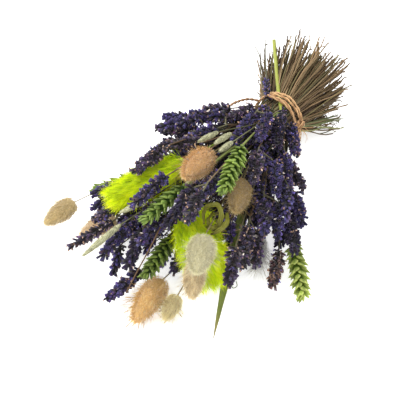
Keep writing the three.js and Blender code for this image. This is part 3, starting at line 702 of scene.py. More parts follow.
def husk_tints(shape, body, edge, count, rng):
    """A green husk, paler at its edges and tip."""
    side = np.abs(shape.places[:, 0]) / np.abs(shape.places[:, 0]).max()
    rise = shape.places[:, 1] / shape.places[:, 1].max()
    share = np.clip(0.12 + 1.3 * side ** 2 * rise ** 0.5 + 1.6 * np.clip(rise - 0.72, 0, 1), 0, 1)
    return blend(body, edge, share)[None] * rng.lognormal(0, 0.2, (count, 1, 1))


def wheat_ear(gather, head, rng):
    """Two ranks of spikelets, each a fan of plump husks."""
    own = directions(head.axis)
    body, edge = WHEAT_TINTS[head.node]
    husks = len(WHEAT_FAN)
    count = int(head.length / SPIKELET_STEP)
    for k in range(count):
        u = k / count
        side = 1 if k % 2 else -1
        size = lerp(1.0, 0.72, u ** 3) * lerp(0.8, 1.0, min(1, 3 * u)) * head.radius / HUSK_FITS
        fan = np.radians(WHEAT_FAN + rng.normal(0, 6, husks))
        outward = swung(side * own[:, 0], own[:, 2], fan)
        lean = np.radians(lerp(30, 17, u) + WHEAT_LEAN + rng.normal(0, 3, husks))
        rise = u * head.length * 0.9 + WHEAT_RISE + rng.normal(0, 0.3, husks)
        spots = head.foot + rise[:, None] * head.axis + outward * 1.6 * size
        sizes = size * rng.uniform(0.92, 1.08, (husks, 1, 1))
        turns = facing(swung(head.axis, outward, lean), outward) * sizes
        gather.copies(HUSK, turns, spots, husk_tints(HUSK, body, edge, husks, rng), rng)
    ways = head.axis[None] + rng.normal(0, 0.16, (TOP_HUSKS, 3))
    turns = facing(ways, rng.normal(0, 1, (TOP_HUSKS, 3))) * TOP_HUSK_SIZE
    spots = head.foot + head.axis * (head.length * 0.86) + rng.normal(0, 0.5, (TOP_HUSKS, 3))
    gather.copies(HUSK, turns, spots, husk_tints(HUSK, body, edge, TOP_HUSKS, rng), rng)
    # The stalk inside: the husks' body colour at half, partly painted shade between the husks
    add_core(gather, head, 0.4, 0.95, body * 0.5)


# Canary grass

CANARY_BODY = srgb(112, 114, 84)
CANARY_EDGE = srgb(186, 184, 150)
SCALE_STEP = 1.5
SCALE_COLUMNS = 8
# The head's radius that a scale of full size fits, and how far out the scales' feet lie
SCALE_FITS = 3.6
SCALE_FOOT = 0.6


def canary_width(u):
    return np.sin(math.pi * (0.1 + 0.86 * np.asarray(u))) ** 0.8


def canary_head(gather, head, rng):
    """Small keeled scales that overlap all round."""
    own = directions(head.axis)
    rings = int(head.length / SCALE_STEP)
    u = np.repeat((np.arange(rings) + 0.2) / rings, SCALE_COLUMNS) * 0.96
    count = len(u)
    angle = np.tile(np.arange(SCALE_COLUMNS), rings) + 0.5 * np.repeat(np.arange(rings), SCALE_COLUMNS)
    angle = angle * 2 * math.pi / SCALE_COLUMNS + rng.normal(0, 0.12, count)
    outward = swung(own[:, 0], own[:, 2], angle)
    lean = np.radians(lerp(14, -6, u) + rng.normal(0, 3, count))
    away = head.radius * canary_width(u) * SCALE_FOOT
    spots = head.foot + (u * head.length)[:, None] * head.axis + away[:, None] * outward
    size = head.radius / SCALE_FITS * rng.uniform(0.9, 1.1, (count, 1, 1))
    tints = husk_tints(SCALE, CANARY_BODY, CANARY_EDGE, count, rng)
    gather.copies(SCALE, facing(swung(head.axis, outward, lean), outward) * size, spots, tints, rng)
    add_core(gather, head, 0.56, 0.97, CANARY_BODY)


# Dyed plumes

PLUME_ROOT = srgb(184, 222, 0)
PLUME_TIP = srgb(240, 255, 14)
# The plume's body under its fibres: the dye's green, a little darker as painted shade of the fibres deep
# inside
PLUME_SHADED_CORE = srgb(166, 202, 0)
PLUME_FLAT = 0.62
PLUME_HAIRS = 15000
FRINGE_HAIRS = 1500
FIBRES = Coat(11.0, 0.26, 19, stray=0.08, clumped=0.15)
FRINGE = Coat(12.0, 0.24, 36, stray=0.2, clumped=0.15)


def plume_width(u):
    return np.sin(math.pi * (0.14 + 0.78 * np.asarray(u))) ** 0.5


def lime_plume(gather, head, rng):
    """A flat brush of fine dyed fibres that lie along it, with a fringe of stray ones."""
    # A body under the fibres, in the dye's green darkened as painted shade
    add_core(gather, head, 0.86, 0.9, PLUME_SHADED_CORE, PLUME_FLAT)
    inner = head._replace(radius=head.radius * 0.82, length=head.length * 0.9)
    for coat, count in [(FIBRES, PLUME_HAIRS), (FRINGE, FRINGE_HAIRS)]:
        hairs(gather, inner, plume_width, coat, count, (PLUME_ROOT, PLUME_TIP), rng, PLUME_FLAT)


# Spikes that fill the gaps between those of the frame

FILL_TRIES = 220
FILL_EACH = 4
# A spike starts this far from its host's foot, at these angles round it and so far along it
FILL_AWAY = (9, 24)
FILL_TURN = (0.95 * math.pi, 2.05 * math.pi)
FILL_ALONG = (-30, 12)
FILL_STRAY = 0.13
FILL_LENGTH = (26, 38)
FILL_RADIUS = (4.8, 5.8)
# How near to another spike it may come, as a share of their radii, and how near to the tie
FILL_CLOSE = 0.76
FILL_CLEAR_OF_TIE = 26
# How far it stays inside the solids' box at its low and high sides
FILL_INSIDE = (6.5, 6)
# Its places have heads round them within this reach, with no wider gap between, and one that is higher
COVER_KINDS = ("lavender", "wheat_ear", "lime_plume")
COVER_REACH = 17
COVER_GAP = math.radians(155)
COVER_HIGHER = 3
COVER_STEPS = 6
# The leaves that it doesn't hide, and how wide they are
RARE_LEAVES = [("curled_bract_01", 4), ("grass_blade_01", 2)]

# Spikes that the frame leaves out: where the photograph shows the foot and the tip of each, the height of
# either, and the spike's radius
SMALL_SPIKES = [
    ((268, 108, 60), (247, 121, 57), 5.2),
    ((283, 110, 59), (279, 131, 60), 4.6),
    ((268, 99, 54), (266, 76, 56), 2.8),
    ((227, 137, 42), (203, 149, 40), 5.2),
    ((228, 157, 38), (205, 177, 34), 5.2),
    ((256, 178, 38), (256, 212, 30), 5.4),
    ((252, 196, 34), (248, 224, 24), 5.4),
    ((258, 196, 30), (254, 229, 20), 5.2),
    ((246, 158, 40), (240, 188, 32), 5.0),
    ((232, 184, 32), (226, 212, 24), 4.8),
    ((158, 222, 28), (144, 256, 16), 5.2),
    ((170, 234, 22), (161, 269, 12), 4.8),
]


def gap_between(foot, tip, feet, tips):
    """The least distance from one stretch to each of many, sampled along the first."""
    samples = lerp(foot, tip, np.linspace(0, 1, 6)[:, None])[:, None]
    along = tips - feet
    share = np.clip(((samples - feet) * along).sum(-1) / (along * along).sum(-1), 0, 1)
    return np.linalg.norm(samples - feet - share[..., None] * along, axis=-1).min(axis=0)


def spans(heads):
    """The feet, tips and radii of heads."""
    feet, tips, radii = zip(*((head.foot, tip_of(head), head.radius) for head in heads))
    return np.array(feet), np.array(tips), np.array(radii)


def along_heads(heads):
    """Places along the heads, and the radius at each."""
    feet, tips, radii = spans(heads)
    places = lerp(feet, tips, np.linspace(0, 1, COVER_STEPS)[:, None, None]).reshape(-1, 3)
    return places, np.tile(radii, COVER_STEPS)


def rare_places(heads):
    """Places along the heads that aren't lavender and on the leaves, and the radius at each."""
    places, radii = along_heads([head for head in heads if head.kind != "lavender"])
    for node, width in RARE_LEAVES:
        corners = triangles_of(node).mean(axis=1)[::4]
        places = np.vstack([places, corners])
        radii = np.append(radii, np.full(len(corners), width))
    return places, radii


def inside_bunch(place, cover):
    """Whether heads lie all round a place, seen as in the photograph, and one near it is higher."""
    reach = (cover - place) @ VIEW[:, :2]
    turns = np.sort(np.arctan2(reach[:, 1], reach[:, 0])[np.linalg.norm(reach, axis=1) < COVER_REACH])
    if len(turns) < 3 or np.diff(np.append(turns, turns[0] + 2 * math.pi)).max() > COVER_GAP:
        return False
    near = cover[np.linalg.norm((cover - place)[:, :2], axis=1) < COVER_REACH + 3]
    return len(near) > 0 and near[:, 2].max() > place[2] + COVER_HIGHER


def hides(place, radius, rare, rare_radii):
    """Whether a spike at a place would hide one of the bunch's rarer heads in the photograph."""
    reach = (rare - place) @ VIEW
    return ((reach[:, 2] < 0) & (np.linalg.norm(reach[:, :2], axis=1) < rare_radii + radius)).any()


def nearest_lavender(place, heads):
    """The node of the lavender head whose foot is nearest."""
    lavender = [head for head in heads if head.kind == "lavender"]
    return min(lavender, key=lambda head: np.linalg.norm(head.foot - place)).node


def small_spikes(heads):
    """The few spikes that are listed one by one."""
    spikes = []
    for foot, tip, radius in SMALL_SPIKES:
        foot, tip = photo_place(*foot), photo_place(*tip)
        length = np.linalg.norm(tip - foot)
        spikes.append(Head(nearest_lavender(tip, heads), "fill", foot, unit(tip - foot), length, radius))
    return spikes


def random_spike(host, rng):
    """A spike below or beside a head, that points nearly the same way."""
    own = directions(host.axis)
    way = swung(own[:, 0], own[:, 2], rng.uniform(*FILL_TURN))
    foot = host.foot + way * rng.uniform(*FILL_AWAY) + host.axis * rng.uniform(*FILL_ALONG)
    axis = unit(host.axis + rng.normal(0, FILL_STRAY, 3))
    return Head(None, "fill", foot, axis, rng.uniform(*FILL_LENGTH), rng.uniform(*FILL_RADIUS))


def has_room(spike, feet, tips, radii):
    """Whether a spike lies inside the solids' box, clear of the tie and of the other spikes."""
    ends = np.array([spike.foot, tip_of(spike)])
    inside = (ends > BOX_LOW + FILL_INSIDE[0]).all() and (ends < BOX_HIGH - FILL_INSIDE[1]).all()
    if not inside or ends[:, 1].max() > TIE[1] - FILL_CLEAR_OF_TIE:
        return False
    return (gap_between(*ends, feet, tips) >= FILL_CLOSE * (radii + spike.radius)).all()


def fill_spikes(heads, rng):
    """More spikes between and below the frame's own, where there is room, so that the bunch is full."""
    added = small_spikes(heads)
    taken = spans(heads + added)
    cover, _ = along_heads([head for head in heads if head.kind in COVER_KINDS])
    rare = rare_places(heads)
    for host in [head for head in heads if head.kind != "canary_grass"]:
        found = 0
        for _ in range(FILL_TRIES):
            spike = random_spike(host, rng)
            if not has_room(spike, *taken):
                continue
            spots = [lerp(spike.foot, tip_of(spike), share) for share in (0.1, 0.55, 1.0)]
            if all(inside_bunch(spot, cover) and not hides(spot, spike.radius, *rare) for spot in spots):
                added.append(spike._replace(node=nearest_lavender(spike.foot, heads)))
                taken = spans(heads + added)
                found += 1
            if found == FILL_EACH:
                break
    return added


# Stems

STEM_KNOTS = 11
STEM_STEPS = 24
# How far the stems start behind the neck's own places, and how far they keep from heads and from the table
STEM_BEHIND = 16
STEM_CLEAR = 1.8
STEM_LOWEST = 1.4
# In each round a stem's points are pushed out of the heads, more down than up, and drawn smooth again
SETTLE_ROUNDS = 90
SETTLE_HEAD = 0.9
SETTLE_PLUME = 0.75
SETTLE_PUSH = 0.3
SETTLE_DOWN = 0.55
SETTLE_SMOOTH = 0.35
# Each kind of stem: its radius and its colours
STEM_LOOKS = {
    "lavender": (0.75, [srgb(96, 92, 66), srgb(112, 96, 72), srgb(84, 84, 62), srgb(104, 82, 62)]),
    "fill": (0.7, [srgb(84, 80, 60), srgb(92, 76, 58), srgb(74, 76, 54)]),
    "bunny_tail": (0.6, [srgb(136, 122, 84), srgb(120, 110, 74)]),
    "wheat_ear": (1.0, [srgb(112, 128, 60), srgb(126, 136, 72)]),
    "canary_grass": (0.6, [srgb(116, 116, 82), srgb(104, 104, 72)]),
    "lime_plume": (1.1, [srgb(120, 140, 40)]),
    # Dark stems: their own brown, darkened as painted shade below the heads
    "bare": (0.55, [srgb(58, 50, 38), srgb(70, 56, 42), srgb(52, 54, 36)]),
}
# How many stems have lost their heads, and where from another head's foot they end, below the heads, where
# their dark colours are partly painted shade
BARE_STEMS = 110
BARE_ALONG = (-20, 14)
BARE_ASIDE = 4
BARE_BELOW = (4, 16)
BARE_LOWEST = 2
# How steeply a head's stem rises to it, where it comes from below
STEM_RISE = {"bunny_tail_03": 1.1}
# The neck's free places, how far the stems keep from its edge, and the heads' spread to which its full width
# answers
NECK_SPARE = 6
NECK_EDGE = 1.6
NECK_TURN = math.radians(44)
NECK_RISE = 44
# The twigs of a forked stem
FORK_RADIUS = 0.7
SHOOT_RADIUS = 0.65
# The scale of a rod's grain round it and along it
GRAIN_ROUND = 2
GRAIN_ALONG = 0.18


def disc_points(count, radius):
    """Points spread evenly over the neck's disc, as seeds are in a sunflower."""
    number = np.arange(count)
    away = radius * np.sqrt((number + 0.5) / count)
    return np.column_stack([away * np.cos(number * GOLDEN_ANGLE), away * np.sin(number * GOLDEN_ANGLE)])


def neck_slots(ends):
    """A place in the neck for each stem, on the side that its head lies on."""
    slots = disc_points(len(ends) + NECK_SPARE, NECK_RADIUS - NECK_EDGE)
    free = list(range(len(slots)))
    chosen = []
    for end in ends:
        turn = math.atan2(end[0] - TIE[0], TIE[1] - end[1])
        rise = np.clip((end[2] - TIE[2]) / NECK_RISE, -0.9, 0.9)
        wish = np.array([turn / NECK_TURN, rise]) * NECK_RADIUS
        best = min(free, key=lambda i: np.linalg.norm(slots[i] - wish))
        free.remove(best)
        chosen.append(TIE + [slots[best][0], -NECK_HALF, slots[best][1]])
    return np.array(chosen)


def settle_stems(knots, owners, heads):
    """Moves the stems' inner points out of the heads that they would run through, and mostly under them."""
    feet = np.array([head.foot for head in heads])
    ways = np.array([head.axis * head.length for head in heads])
    shares = [SETTLE_PLUME if head.kind == "lime_plume" else SETTLE_HEAD for head in heads]
    radii = np.array([head.radius * share for head, share in zip(heads, shares)])
    foreign = np.array([[owner is not head for head in heads] for owner in owners])
    for _ in range(SETTLE_ROUNDS):
        inner = knots[:, 1:-1]
        reach = inner[:, :, None] - feet
        share = np.clip((reach * ways).sum(-1) / (ways * ways).sum(-1), 0, 1)
        away = reach - share[..., None] * ways
        distance = np.linalg.norm(away, axis=-1)
        short = np.clip(radii + STEM_CLEAR - distance, 0, None) * foreign[:, None, :]
        push = away / np.maximum(distance, 0.1)[..., None] - SETTLE_DOWN * UP
        inner = inner + SETTLE_PUSH * (push * short[..., None]).sum(axis=2)
        inner[..., 2] = np.maximum(inner[..., 2], STEM_LOWEST)
        knots[:, 1:-1] = inner
        knots[:, 1:-1] = lerp(inner, (knots[:, :-2] + knots[:, 2:]) / 2, SETTLE_SMOOTH)
    return knots


def smooth_route(knots, count):
    """A smooth line through the knots."""
    knots = np.asarray(knots)
    ends = np.vstack([2 * knots[0] - knots[1], knots, 2 * knots[-1] - knots[-2]])
    at = np.linspace(0, len(knots) - 1 - 1e-6, count)
    k = at.astype(int)
    t = (at - k)[:, None]
    a, b, c, d = ends[k], ends[k + 1], ends[k + 2], ends[k + 3]
    bend = 2 * a - 5 * b + 4 * c - d
    turn = 3 * b - a - 3 * c + d
    return 0.5 * (2 * b + (c - a) * t + bend * t ** 2 + turn * t ** 3)


def route_frames(along):
    """A direction across a route and one upright to both, at each place, without a twist between them."""
    side = np.cross(along[0], UP)
    if np.linalg.norm(side) < 0.1:
        side = np.cross(along[0], TO_HEADS)
    frames = []
    for way in along:
        side = unit(side - way * (side @ way))
        frames.append((side, np.cross(side, way)))
    return (np.array(part) for part in zip(*frames))


def tube_faces(count, sides):
    """The triangles of a tube of rings, whose ends close at two points after them."""
    ring, step = np.meshgrid(np.arange(count - 1), np.arange(sides), indexing="ij")
    a = ring * sides + step
    b = ring * sides + (step + 1) % sides
    wall = np.stack([a, b, b + sides, a, b + sides, a + sides], axis=-1).reshape(-1, 3)
    number = np.arange(sides)
    next_number = (number + 1) % sides
    first = np.column_stack([next_number, number, np.full(sides, count * sides)])
    last = (count - 1) * sides
    final = np.column_stack([last + number, last + next_number, np.full(sides, count * sides + 1)])
    return np.vstack([wall, first, final])


def rod(gather, route, radii, sides, tint, rng, flat=1.0, rib=0.12, end_tint=None):
    """A ribbed rod along a route, with closed ends. Flat squeezes its section."""
    count = len(route)
    across, upright = route_frames(unit(np.gradient(route, axis=0)))
    angle = np.tile(np.arange(sides) * 2 * math.pi / sides, (count, 1))
    rings = swung(across[:, None], flat * upright[:, None], angle)
    ribs = 1 - rib * (np.arange(sides) % 2)
    places = route[:, None] + rings * (np.broadcast_to(radii, count)[:, None] * ribs)[..., None]
    places = np.vstack([places.reshape(-1, 3), route[0], route[-1]])
    length = np.concatenate([[0], np.cumsum(np.linalg.norm(np.diff(route, axis=0), axis=1))])
    lengthwise = np.broadcast_to(length[:, None] * GRAIN_ALONG, angle.shape)
    grains = np.stack([np.cos(angle) * GRAIN_ROUND, np.sin(angle) * GRAIN_ROUND, lengthwise], axis=-1)
    grains = np.vstack([grains.reshape(-1, 3), np.zeros((2, 3))]) + rng.uniform(-GRAIN_SHIFT, GRAIN_SHIFT, 3)
    tint = np.broadcast_to(tint, (count, 3))
    tints = tint[:, None] * rng.uniform(0.82, 1.12, (1, sides, 1))
    tints = np.vstack([tints.reshape(-1, 3), tint[[0, -1]]])
    if end_tint is not None:
        tints[-1] = end_tint
    gather.add(places, tube_faces(count, sides), tints, grains)


def bezier(start, start_way, end, end_way, count):
    """A curve that leaves its start and reaches its end in the ways given."""
    far = np.linalg.norm(end - start)
    a = start + start_way * 0.3 * far
    b = end - end_way * 0.3 * far
    t = np.linspace(0, 1, count)[:, None]
    return start * (1 - t) ** 3 + 3 * a * t * (1 - t) ** 2 + 3 * b * t ** 2 * (1 - t) + end * t ** 3


def head_stems(gather, carried, heads, rng):
    """A stem from the neck to each head or fork."""
    ends = np.array([end for end, _ in carried])
    owners = [head for _, head in carried]
    ways = [unit(head.axis + STEM_RISE.get(head.node, 0) * UP) for head in owners]
    knots = np.array([bezier(slot, TO_HEADS, end, way, STEM_KNOTS)
                      for slot, end, way in zip(neck_slots(ends), ends, ways)])
    for line, head in zip(settle_stems(knots, owners, heads), owners):
        radius, tints = STEM_LOOKS[head.kind]
        tint = tints[rng.integers(len(tints))] * rng.uniform(0.75, 1.15)
        behind = line[0] - TO_HEADS * STEM_BEHIND
        route = smooth_route(np.vstack([behind, line]), STEM_STEPS)
        radii = radius * rng.uniform(0.85, 1.15) * np.linspace(1.15, 0.85, STEM_STEPS)
        rod(gather, route, radii, 5, tint, rng)


def bare_shade_stems(heads, rng):
    """Where the stems that have lost their heads end, below and beside the others, where their dark colour is
    partly painted shade.
    """
    carried = []
    for _ in range(BARE_STEMS):
        head = heads[rng.integers(len(heads))]
        end = head.foot + head.axis * rng.uniform(*BARE_ALONG) + rng.normal(0, BARE_ASIDE, 3)
        end = end - UP * rng.uniform(*BARE_BELOW)
        end[2] = max(end[2], BARE_LOWEST)
        carried.append((end, head._replace(kind="bare")))
    return carried


def twigs(gather, node_heads, rng):
    """From a forked plant's stem to its heads."""
    main, shoot = node_heads
    fork = main.foot - STEM_NECK * main.axis
    tint = STEM_LOOKS["lavender"][1][0]
    route = lerp(fork - main.axis, main.foot + main.axis, np.linspace(0, 1, 4)[:, None])
    rod(gather, route, FORK_RADIUS, 6, tint, rng)
    route = bezier(fork, main.axis, shoot.foot + shoot.axis, shoot.axis, 12)
    rod(gather, route, SHOOT_RADIUS, 6, tint, rng)


# The cut ends: the frame's stems, each as several finer ones

# The numbers of the solids' own random draws, and of their cut stems
MASK = 0xFFFFFFFF
RANDOM_STEP = 0x6D2B79F5
CUT_SEED = 11
CUT_STEMS = 86
CUT_STEM_RADIUS = 1.45
CUT_TILT = 30
CUT_LENGTH = 63
CUT_SLANT = 0.35
CUT_RAKE = 0.3
CUT_UNEVEN = 18
CUT_WANDER = 0.12
CUT_DRIFT = -0.1
CUT_RISE = 0.02
CUT_LOWEST = 0.2
CUT_RAISED = 2.4
# The finer stems: how many to each, their radius, how far apart they start and end, their share of its
# length, how crooked they are, and how far inside the neck they start
CUT_EACH = 9
CUT_THIN = (0.46, 0.82)
CUT_ASIDE = 1.3
CUT_SPREAD = 4.6
CUT_SPREAD_MOST = 8
CUT_SHARE = (0.82, 0.95)
CUT_CROOKED = 0.016
CUT_INSIDE = 22
CUT_TINTS = [srgb(122, 99, 71), srgb(140, 115, 84), srgb(106, 88, 61), srgb(90, 72, 54), srgb(114, 104, 70),
             srgb(154, 132, 98)]
CUT_GREEN = [srgb(112, 118, 78), srgb(134, 136, 96)]
CUT_PITH = srgb(158, 138, 104)
# How much the stems that lean to the right are shortened and drawn in, as the photograph shows them
CUT_SHORTER = 0.14
CUT_DRAWN_IN = 0.18
CUT_RIGHT = 34
# The share of them that stay as they are
CUT_APART = 0.1
# Those to the right that end lower than this are green
GREEN_BELOW = 16
GREEN_LEANING = 0.3
THIN_STEPS = 10
# How many of them fork near their end
TWIG_SHARE = 0.8
# A bare twig that lies over the spikes: where the photograph shows it, and its heights
BARE_TWIG = [(166, 216, 47), (160, 228, 46), (150, 248, 42), (138, 270, 36), (126, 293, 27)]
BARE_TINT = srgb(96, 74, 54)
# Single cut stems that stand apart from the others in the photograph, each from the tie to its end
STRAY_STEMS = [
    ([(269, 100, 48), (266, 70, 60), (265, 36, 70)], srgb(98, 96, 78)),
    ([(265, 103, 46), (261, 76, 56), (260, 58, 62), (255, 46, 66)], srgb(104, 102, 84)),
    ([(267, 98, 48), (262, 70, 58), (260, 52, 66)], srgb(84, 74, 58)),
    ([(281, 98, 52), (289, 62, 68), (299, 34, 80)], srgb(118, 98, 72)),
]
# The dark middle of the neck, from the heads' side to the cut ends': the stems' brown, darkened as painted
# shade between the packed stems
CORE_HALF = 14
CORE_RADII = np.array([11, 15, 16.5, 16.5, 14, 9.5])
NECK_SHADE_TINT = srgb(52, 44, 34)


def frame_random(seed):
    """Random shares, in the same order as the solids' own cut stems have them."""
    state = seed

    def draw():
        nonlocal state
        state = (state + RANDOM_STEP) & MASK
        t = ((state ^ (state >> 15)) * (state | 1)) & MASK
        t ^= (t + ((t ^ (t >> 7)) * (t | 61))) & MASK
        return (t ^ (t >> 14)) / (MASK + 1)

    return draw


def cut_lines():
    """The frame's cut stems, each from the neck to its cut end."""
    draw = frame_random(CUT_SEED)
    lines = []
    for i, (x, z) in enumerate(disc_points(CUT_STEMS, NECK_RADIUS - CUT_STEM_RADIUS)):
        outward = math.sin(math.radians(CUT_TILT)) * ((i + 0.5) / CUT_STEMS) ** 0.6
        far = math.hypot(x, z)
        start = TIE + [x, NECK_HALF - 1, z]
        way_x = outward * x / far + CUT_DRIFT + CUT_WANDER * (draw() - 0.5)
        way_z = outward * z / far + CUT_RISE + CUT_WANDER * (draw() - 0.5)
        length = CUT_LENGTH + CUT_SLANT * x + CUT_RAKE * z + CUT_UNEVEN * (draw() - 0.5)
        end = start + np.array([way_x, math.sqrt(1 - outward ** 2), way_z]) * length
        end[2] = max(end[2], CUT_LOWEST + CUT_RAISED * draw())
        lines.append((start, end))
    return lines


def thin_route(start, end, leaning, middle_one, radius, rng):
    """A thin crooked stem's route along a thick one, shorter and drawn in where that leans to the right."""
    far = np.linalg.norm(end - start)
    aside = rng.normal(0, CUT_ASIDE, 3) * [1, 0, 1]
    spread = np.clip(rng.normal(0, CUT_SPREAD, 3), -CUT_SPREAD_MOST, CUT_SPREAD_MOST) * [1, 0.3, 1]
    length = rng.uniform(*CUT_SHARE) * (1 - CUT_SHORTER * leaning)
    tip = lerp(start, end, length) + spread * (0.15 if middle_one else 1)
    tip[0] -= CUT_DRAWN_IN * leaning * (tip - start)[0]
    inside = start - [0, CUT_INSIDE, 0]
    inside[[0, 2]] = lerp(TIE[[0, 2]], inside[[0, 2]], 0.94)
    between = [lerp(start + aside * 0.6, tip, share) + rng.normal(0, CUT_CROOKED * far, 3)
               for share in (0.4, 0.75)]
    bend = tip + unit(unit(tip - start) + rng.normal(0, 0.45, 3)) * rng.uniform(1.5, 4)
    route = smooth_route([inside, start + aside, *between, tip, bend], THIN_STEPS)
    route[:, 2] = np.maximum(route[:, 2], radius + 0.15)
    return route


def end_twig(gather, route, tint, rng):
    """A short twig that forks off near a thin stem's end."""
    fork = route[rng.integers(THIN_STEPS - 4, THIN_STEPS - 1)]
    way = unit(unit(route[-1] - route[-4]) + rng.normal(0, 0.34, 3))
    twig = np.array([fork, fork + way * rng.uniform(2, 4), fork + way * rng.uniform(5, 9)])
    twig[1:] += rng.normal(0, 0.6, (2, 3))
    twig[:, 2] = np.maximum(twig[:, 2], 0.5)
    rod(gather, smooth_route(twig, 5), np.linspace(0.38, 0.2, 5), 4, tint, rng)


def cut_stems(gather, rng):
    """Thin crooked stems along each of the frame's, most of them with a twig near the end."""
    for start, end in cut_lines():
        leaning = min(1, max(0, (end - start)[0] / CUT_RIGHT))
        if rng.random() < CUT_APART:
            leaning = 0
        green = end[2] < GREEN_BELOW and leaning > GREEN_LEANING
        tints = CUT_GREEN + CUT_TINTS[:2] if green else CUT_TINTS
        for k in range(CUT_EACH):
            radius = rng.uniform(*CUT_THIN)
            route = thin_route(start, end, leaning, k == 0, radius, rng)
            tint = tints[rng.integers(len(tints))] * rng.uniform(0.35, 1.25)
            rod(gather, route, radius * np.linspace(1.1, 0.85, THIN_STEPS), 5, tint, rng, end_tint=CUT_PITH)
            if rng.random() < TWIG_SHARE:
                end_twig(gather, route, tint, rng)


def single_stems(gather, rng):
    """The brown twig without a head, and the cut stems that stand apart."""
    for pixels, tint in [(BARE_TWIG, BARE_TINT), *STRAY_STEMS]:
        route = smooth_route([photo_place(*pixel) for pixel in pixels], STEM_STEPS)
        rod(gather, route, np.linspace(0.75, 0.45, STEM_STEPS), 6, tint, rng)


def neck_core(gather, rng):
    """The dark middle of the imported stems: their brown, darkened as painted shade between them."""
    route = TIE + np.linspace(-CORE_HALF, CORE_HALF, len(CORE_RADII))[:, None] * [[0, 1, 0]]
    rod(gather, route, CORE_RADII, 20, NECK_SHADE_TINT, rng)


# The straw and the raffia tie

# The point on the table below the tie, from which the places here are counted
UNDER_TIE = TIE * [1, 1, 0]
STRAW_RADIUS = 1.9
STRAW_SLIM = 0.97
STRAW_STEPS = 46
# The straw's joint: its share of the length, its width, and how much thicker it is
JOINT_AT = 0.3
JOINT_WIDE = 0.012
JOINT_THICK = 0.22
STRAW_KNOTS = np.array([[-44, 62, 74], [-5, 9, 53.3], [5.4, -4.9, 52.6], [10.8, -12.1, 50.2],
                        [14.6, -17.2, 48]])
STRAW_TINT = srgb(148, 154, 64)
STRAW_DEEP = srgb(130, 138, 50)
LOOP_RADIUS = 22.45
LOOP_STEPS = 140
STRAND_RADIUS = 1.08
# Each strand's place along the neck, how far it swings to either side of that, and where round the neck
STRANDS = [(1, 1, 0.4), (-1.5, 4.2, math.pi * 1.25), (3, 2.6, math.pi * 0.35), (-3.2, 2.4, math.pi * 0.9)]
PLY_TURNS = 11
RAFFIA_TINTS = [srgb(180, 136, 92), srgb(156, 116, 78), srgb(200, 160, 114)]
KNOT = np.array([LOOP_RADIUS + 1.2, -1, 38])
KNOT_LOOPS = 3
LOOSE_END = np.array([[-20, 0, 46], [-25, -11, 51], [-26, -25, 55], [-25, -38, 58], [-25, -47, 56]])
LOOSE_RADIUS = 1.25
# The short end, counted from the knot
SHORT_END = np.array([[0, 0, 0], [3, -5, -5], [4, -9, -12]])
# Where fibres fray: the place, the way they point, how many they are and how long
FRAYS = [
    (KNOT + SHORT_END[-1], np.array([0.1, -0.5, -0.9]), 14, 12),
    (KNOT + [2, -2, -2], np.array([0.4, -0.6, -0.7]), 16, 15),
    (LOOSE_END[-1], np.array([0.0, -0.9, -0.3]), 8, 7),
]


def straw(gather, rng):
    """A smooth straw with a joint, deeper green at its hidden end."""
    share = np.linspace(0, 1, STRAW_STEPS)
    joint = 1 + JOINT_THICK * np.exp(-((share - JOINT_AT) / JOINT_WIDE) ** 2)
    tints = blend(STRAW_TINT, STRAW_DEEP, share)
    route = smooth_route(STRAW_KNOTS + UNDER_TIE, STRAW_STEPS)
    rod(gather, route, STRAW_RADIUS * joint * STRAW_SLIM, 12, tints, rng, rib=0.03, end_tint=CUT_PITH)


def two_ply(gather, route, radius, rng, turns=PLY_TURNS):
    """Two fibrous strands twisted round each other along a route."""
    along = unit(np.gradient(route, axis=0))
    side = unit(np.cross(along, [0.3, 0.9, 0.1]))
    phase = np.linspace(0, 2 * math.pi * turns, len(route))
    for k in range(2):
        ply = route + swung(side, np.cross(along, side), phase + k * math.pi) * radius * 0.5
        tint = RAFFIA_TINTS[rng.integers(len(RAFFIA_TINTS))] * rng.uniform(0.85, 1.1)
        rod(gather, ply, radius * 0.62 * rng.uniform(0.85, 1.15, len(route)), 7, tint, rng, rib=0.25)


def frayed(gather, start, way, count, length, rng):
    """Loose fibres that fan out from a point."""
    for _ in range(count):
        end = start + unit(way + rng.normal(0, 0.35, 3)) * length * rng.uniform(0.5, 1.1)
        bend = lerp(start, end, 0.5) + rng.normal(0, 0.08 * length, 3)
        route = smooth_route([start, bend, end], 7)
        rod(gather, route, np.linspace(0.32, 0.12, 7), 4, RAFFIA_TINTS[2] * rng.uniform(0.8, 1.2), rng)


def tie(gather, rng):
    """Turns of raffia round the neck, a knot at the right and a loose end at the left."""
    for offset, swing, phase in STRANDS:
        angle = np.linspace(0, 2 * math.pi, LOOP_STEPS)
        drift = offset + swing * np.cos(angle - phase) + 0.35 * np.sin(5 * angle + phase)
        away = LOOP_RADIUS + 0.25 * np.sin(7 * angle)
        route = TIE + np.column_stack([away * np.cos(angle), drift, away * np.sin(angle)])
        two_ply(gather, route, STRAND_RADIUS, rng)
    two_ply(gather, smooth_route(LOOSE_END + UNDER_TIE, 40), LOOSE_RADIUS, rng, turns=5)
    knot = KNOT + UNDER_TIE
    for k in range(KNOT_LOOPS):
        angle = np.linspace(0, 2 * math.pi, 24)
        right, back, up = 1.2 + 2.2 * np.cos(angle), 3.6 * np.sin(angle), 2.8 * np.sin(2 * angle + k)
        loop = np.column_stack([right, back, up]) * (0.8 + 0.12 * k)
        two_ply(gather, knot + loop, 1.0, rng, turns=2)
    two_ply(gather, smooth_route(SHORT_END + knot, 16), 1.0, rng, turns=2)
    for place, way, count, length in FRAYS:
        frayed(gather, place + UNDER_TIE, way, count, length, rng)


# The grass blade and the curled bract

BLADE_WIDTH = 8
BLADE_ARCH = 5
BLADE_THICKNESS = 0.35
# How steeply the blade's sides rise from its fold, and how many veins it has
BLADE_FOLD = 0.22
BLADE_VEINS = 8
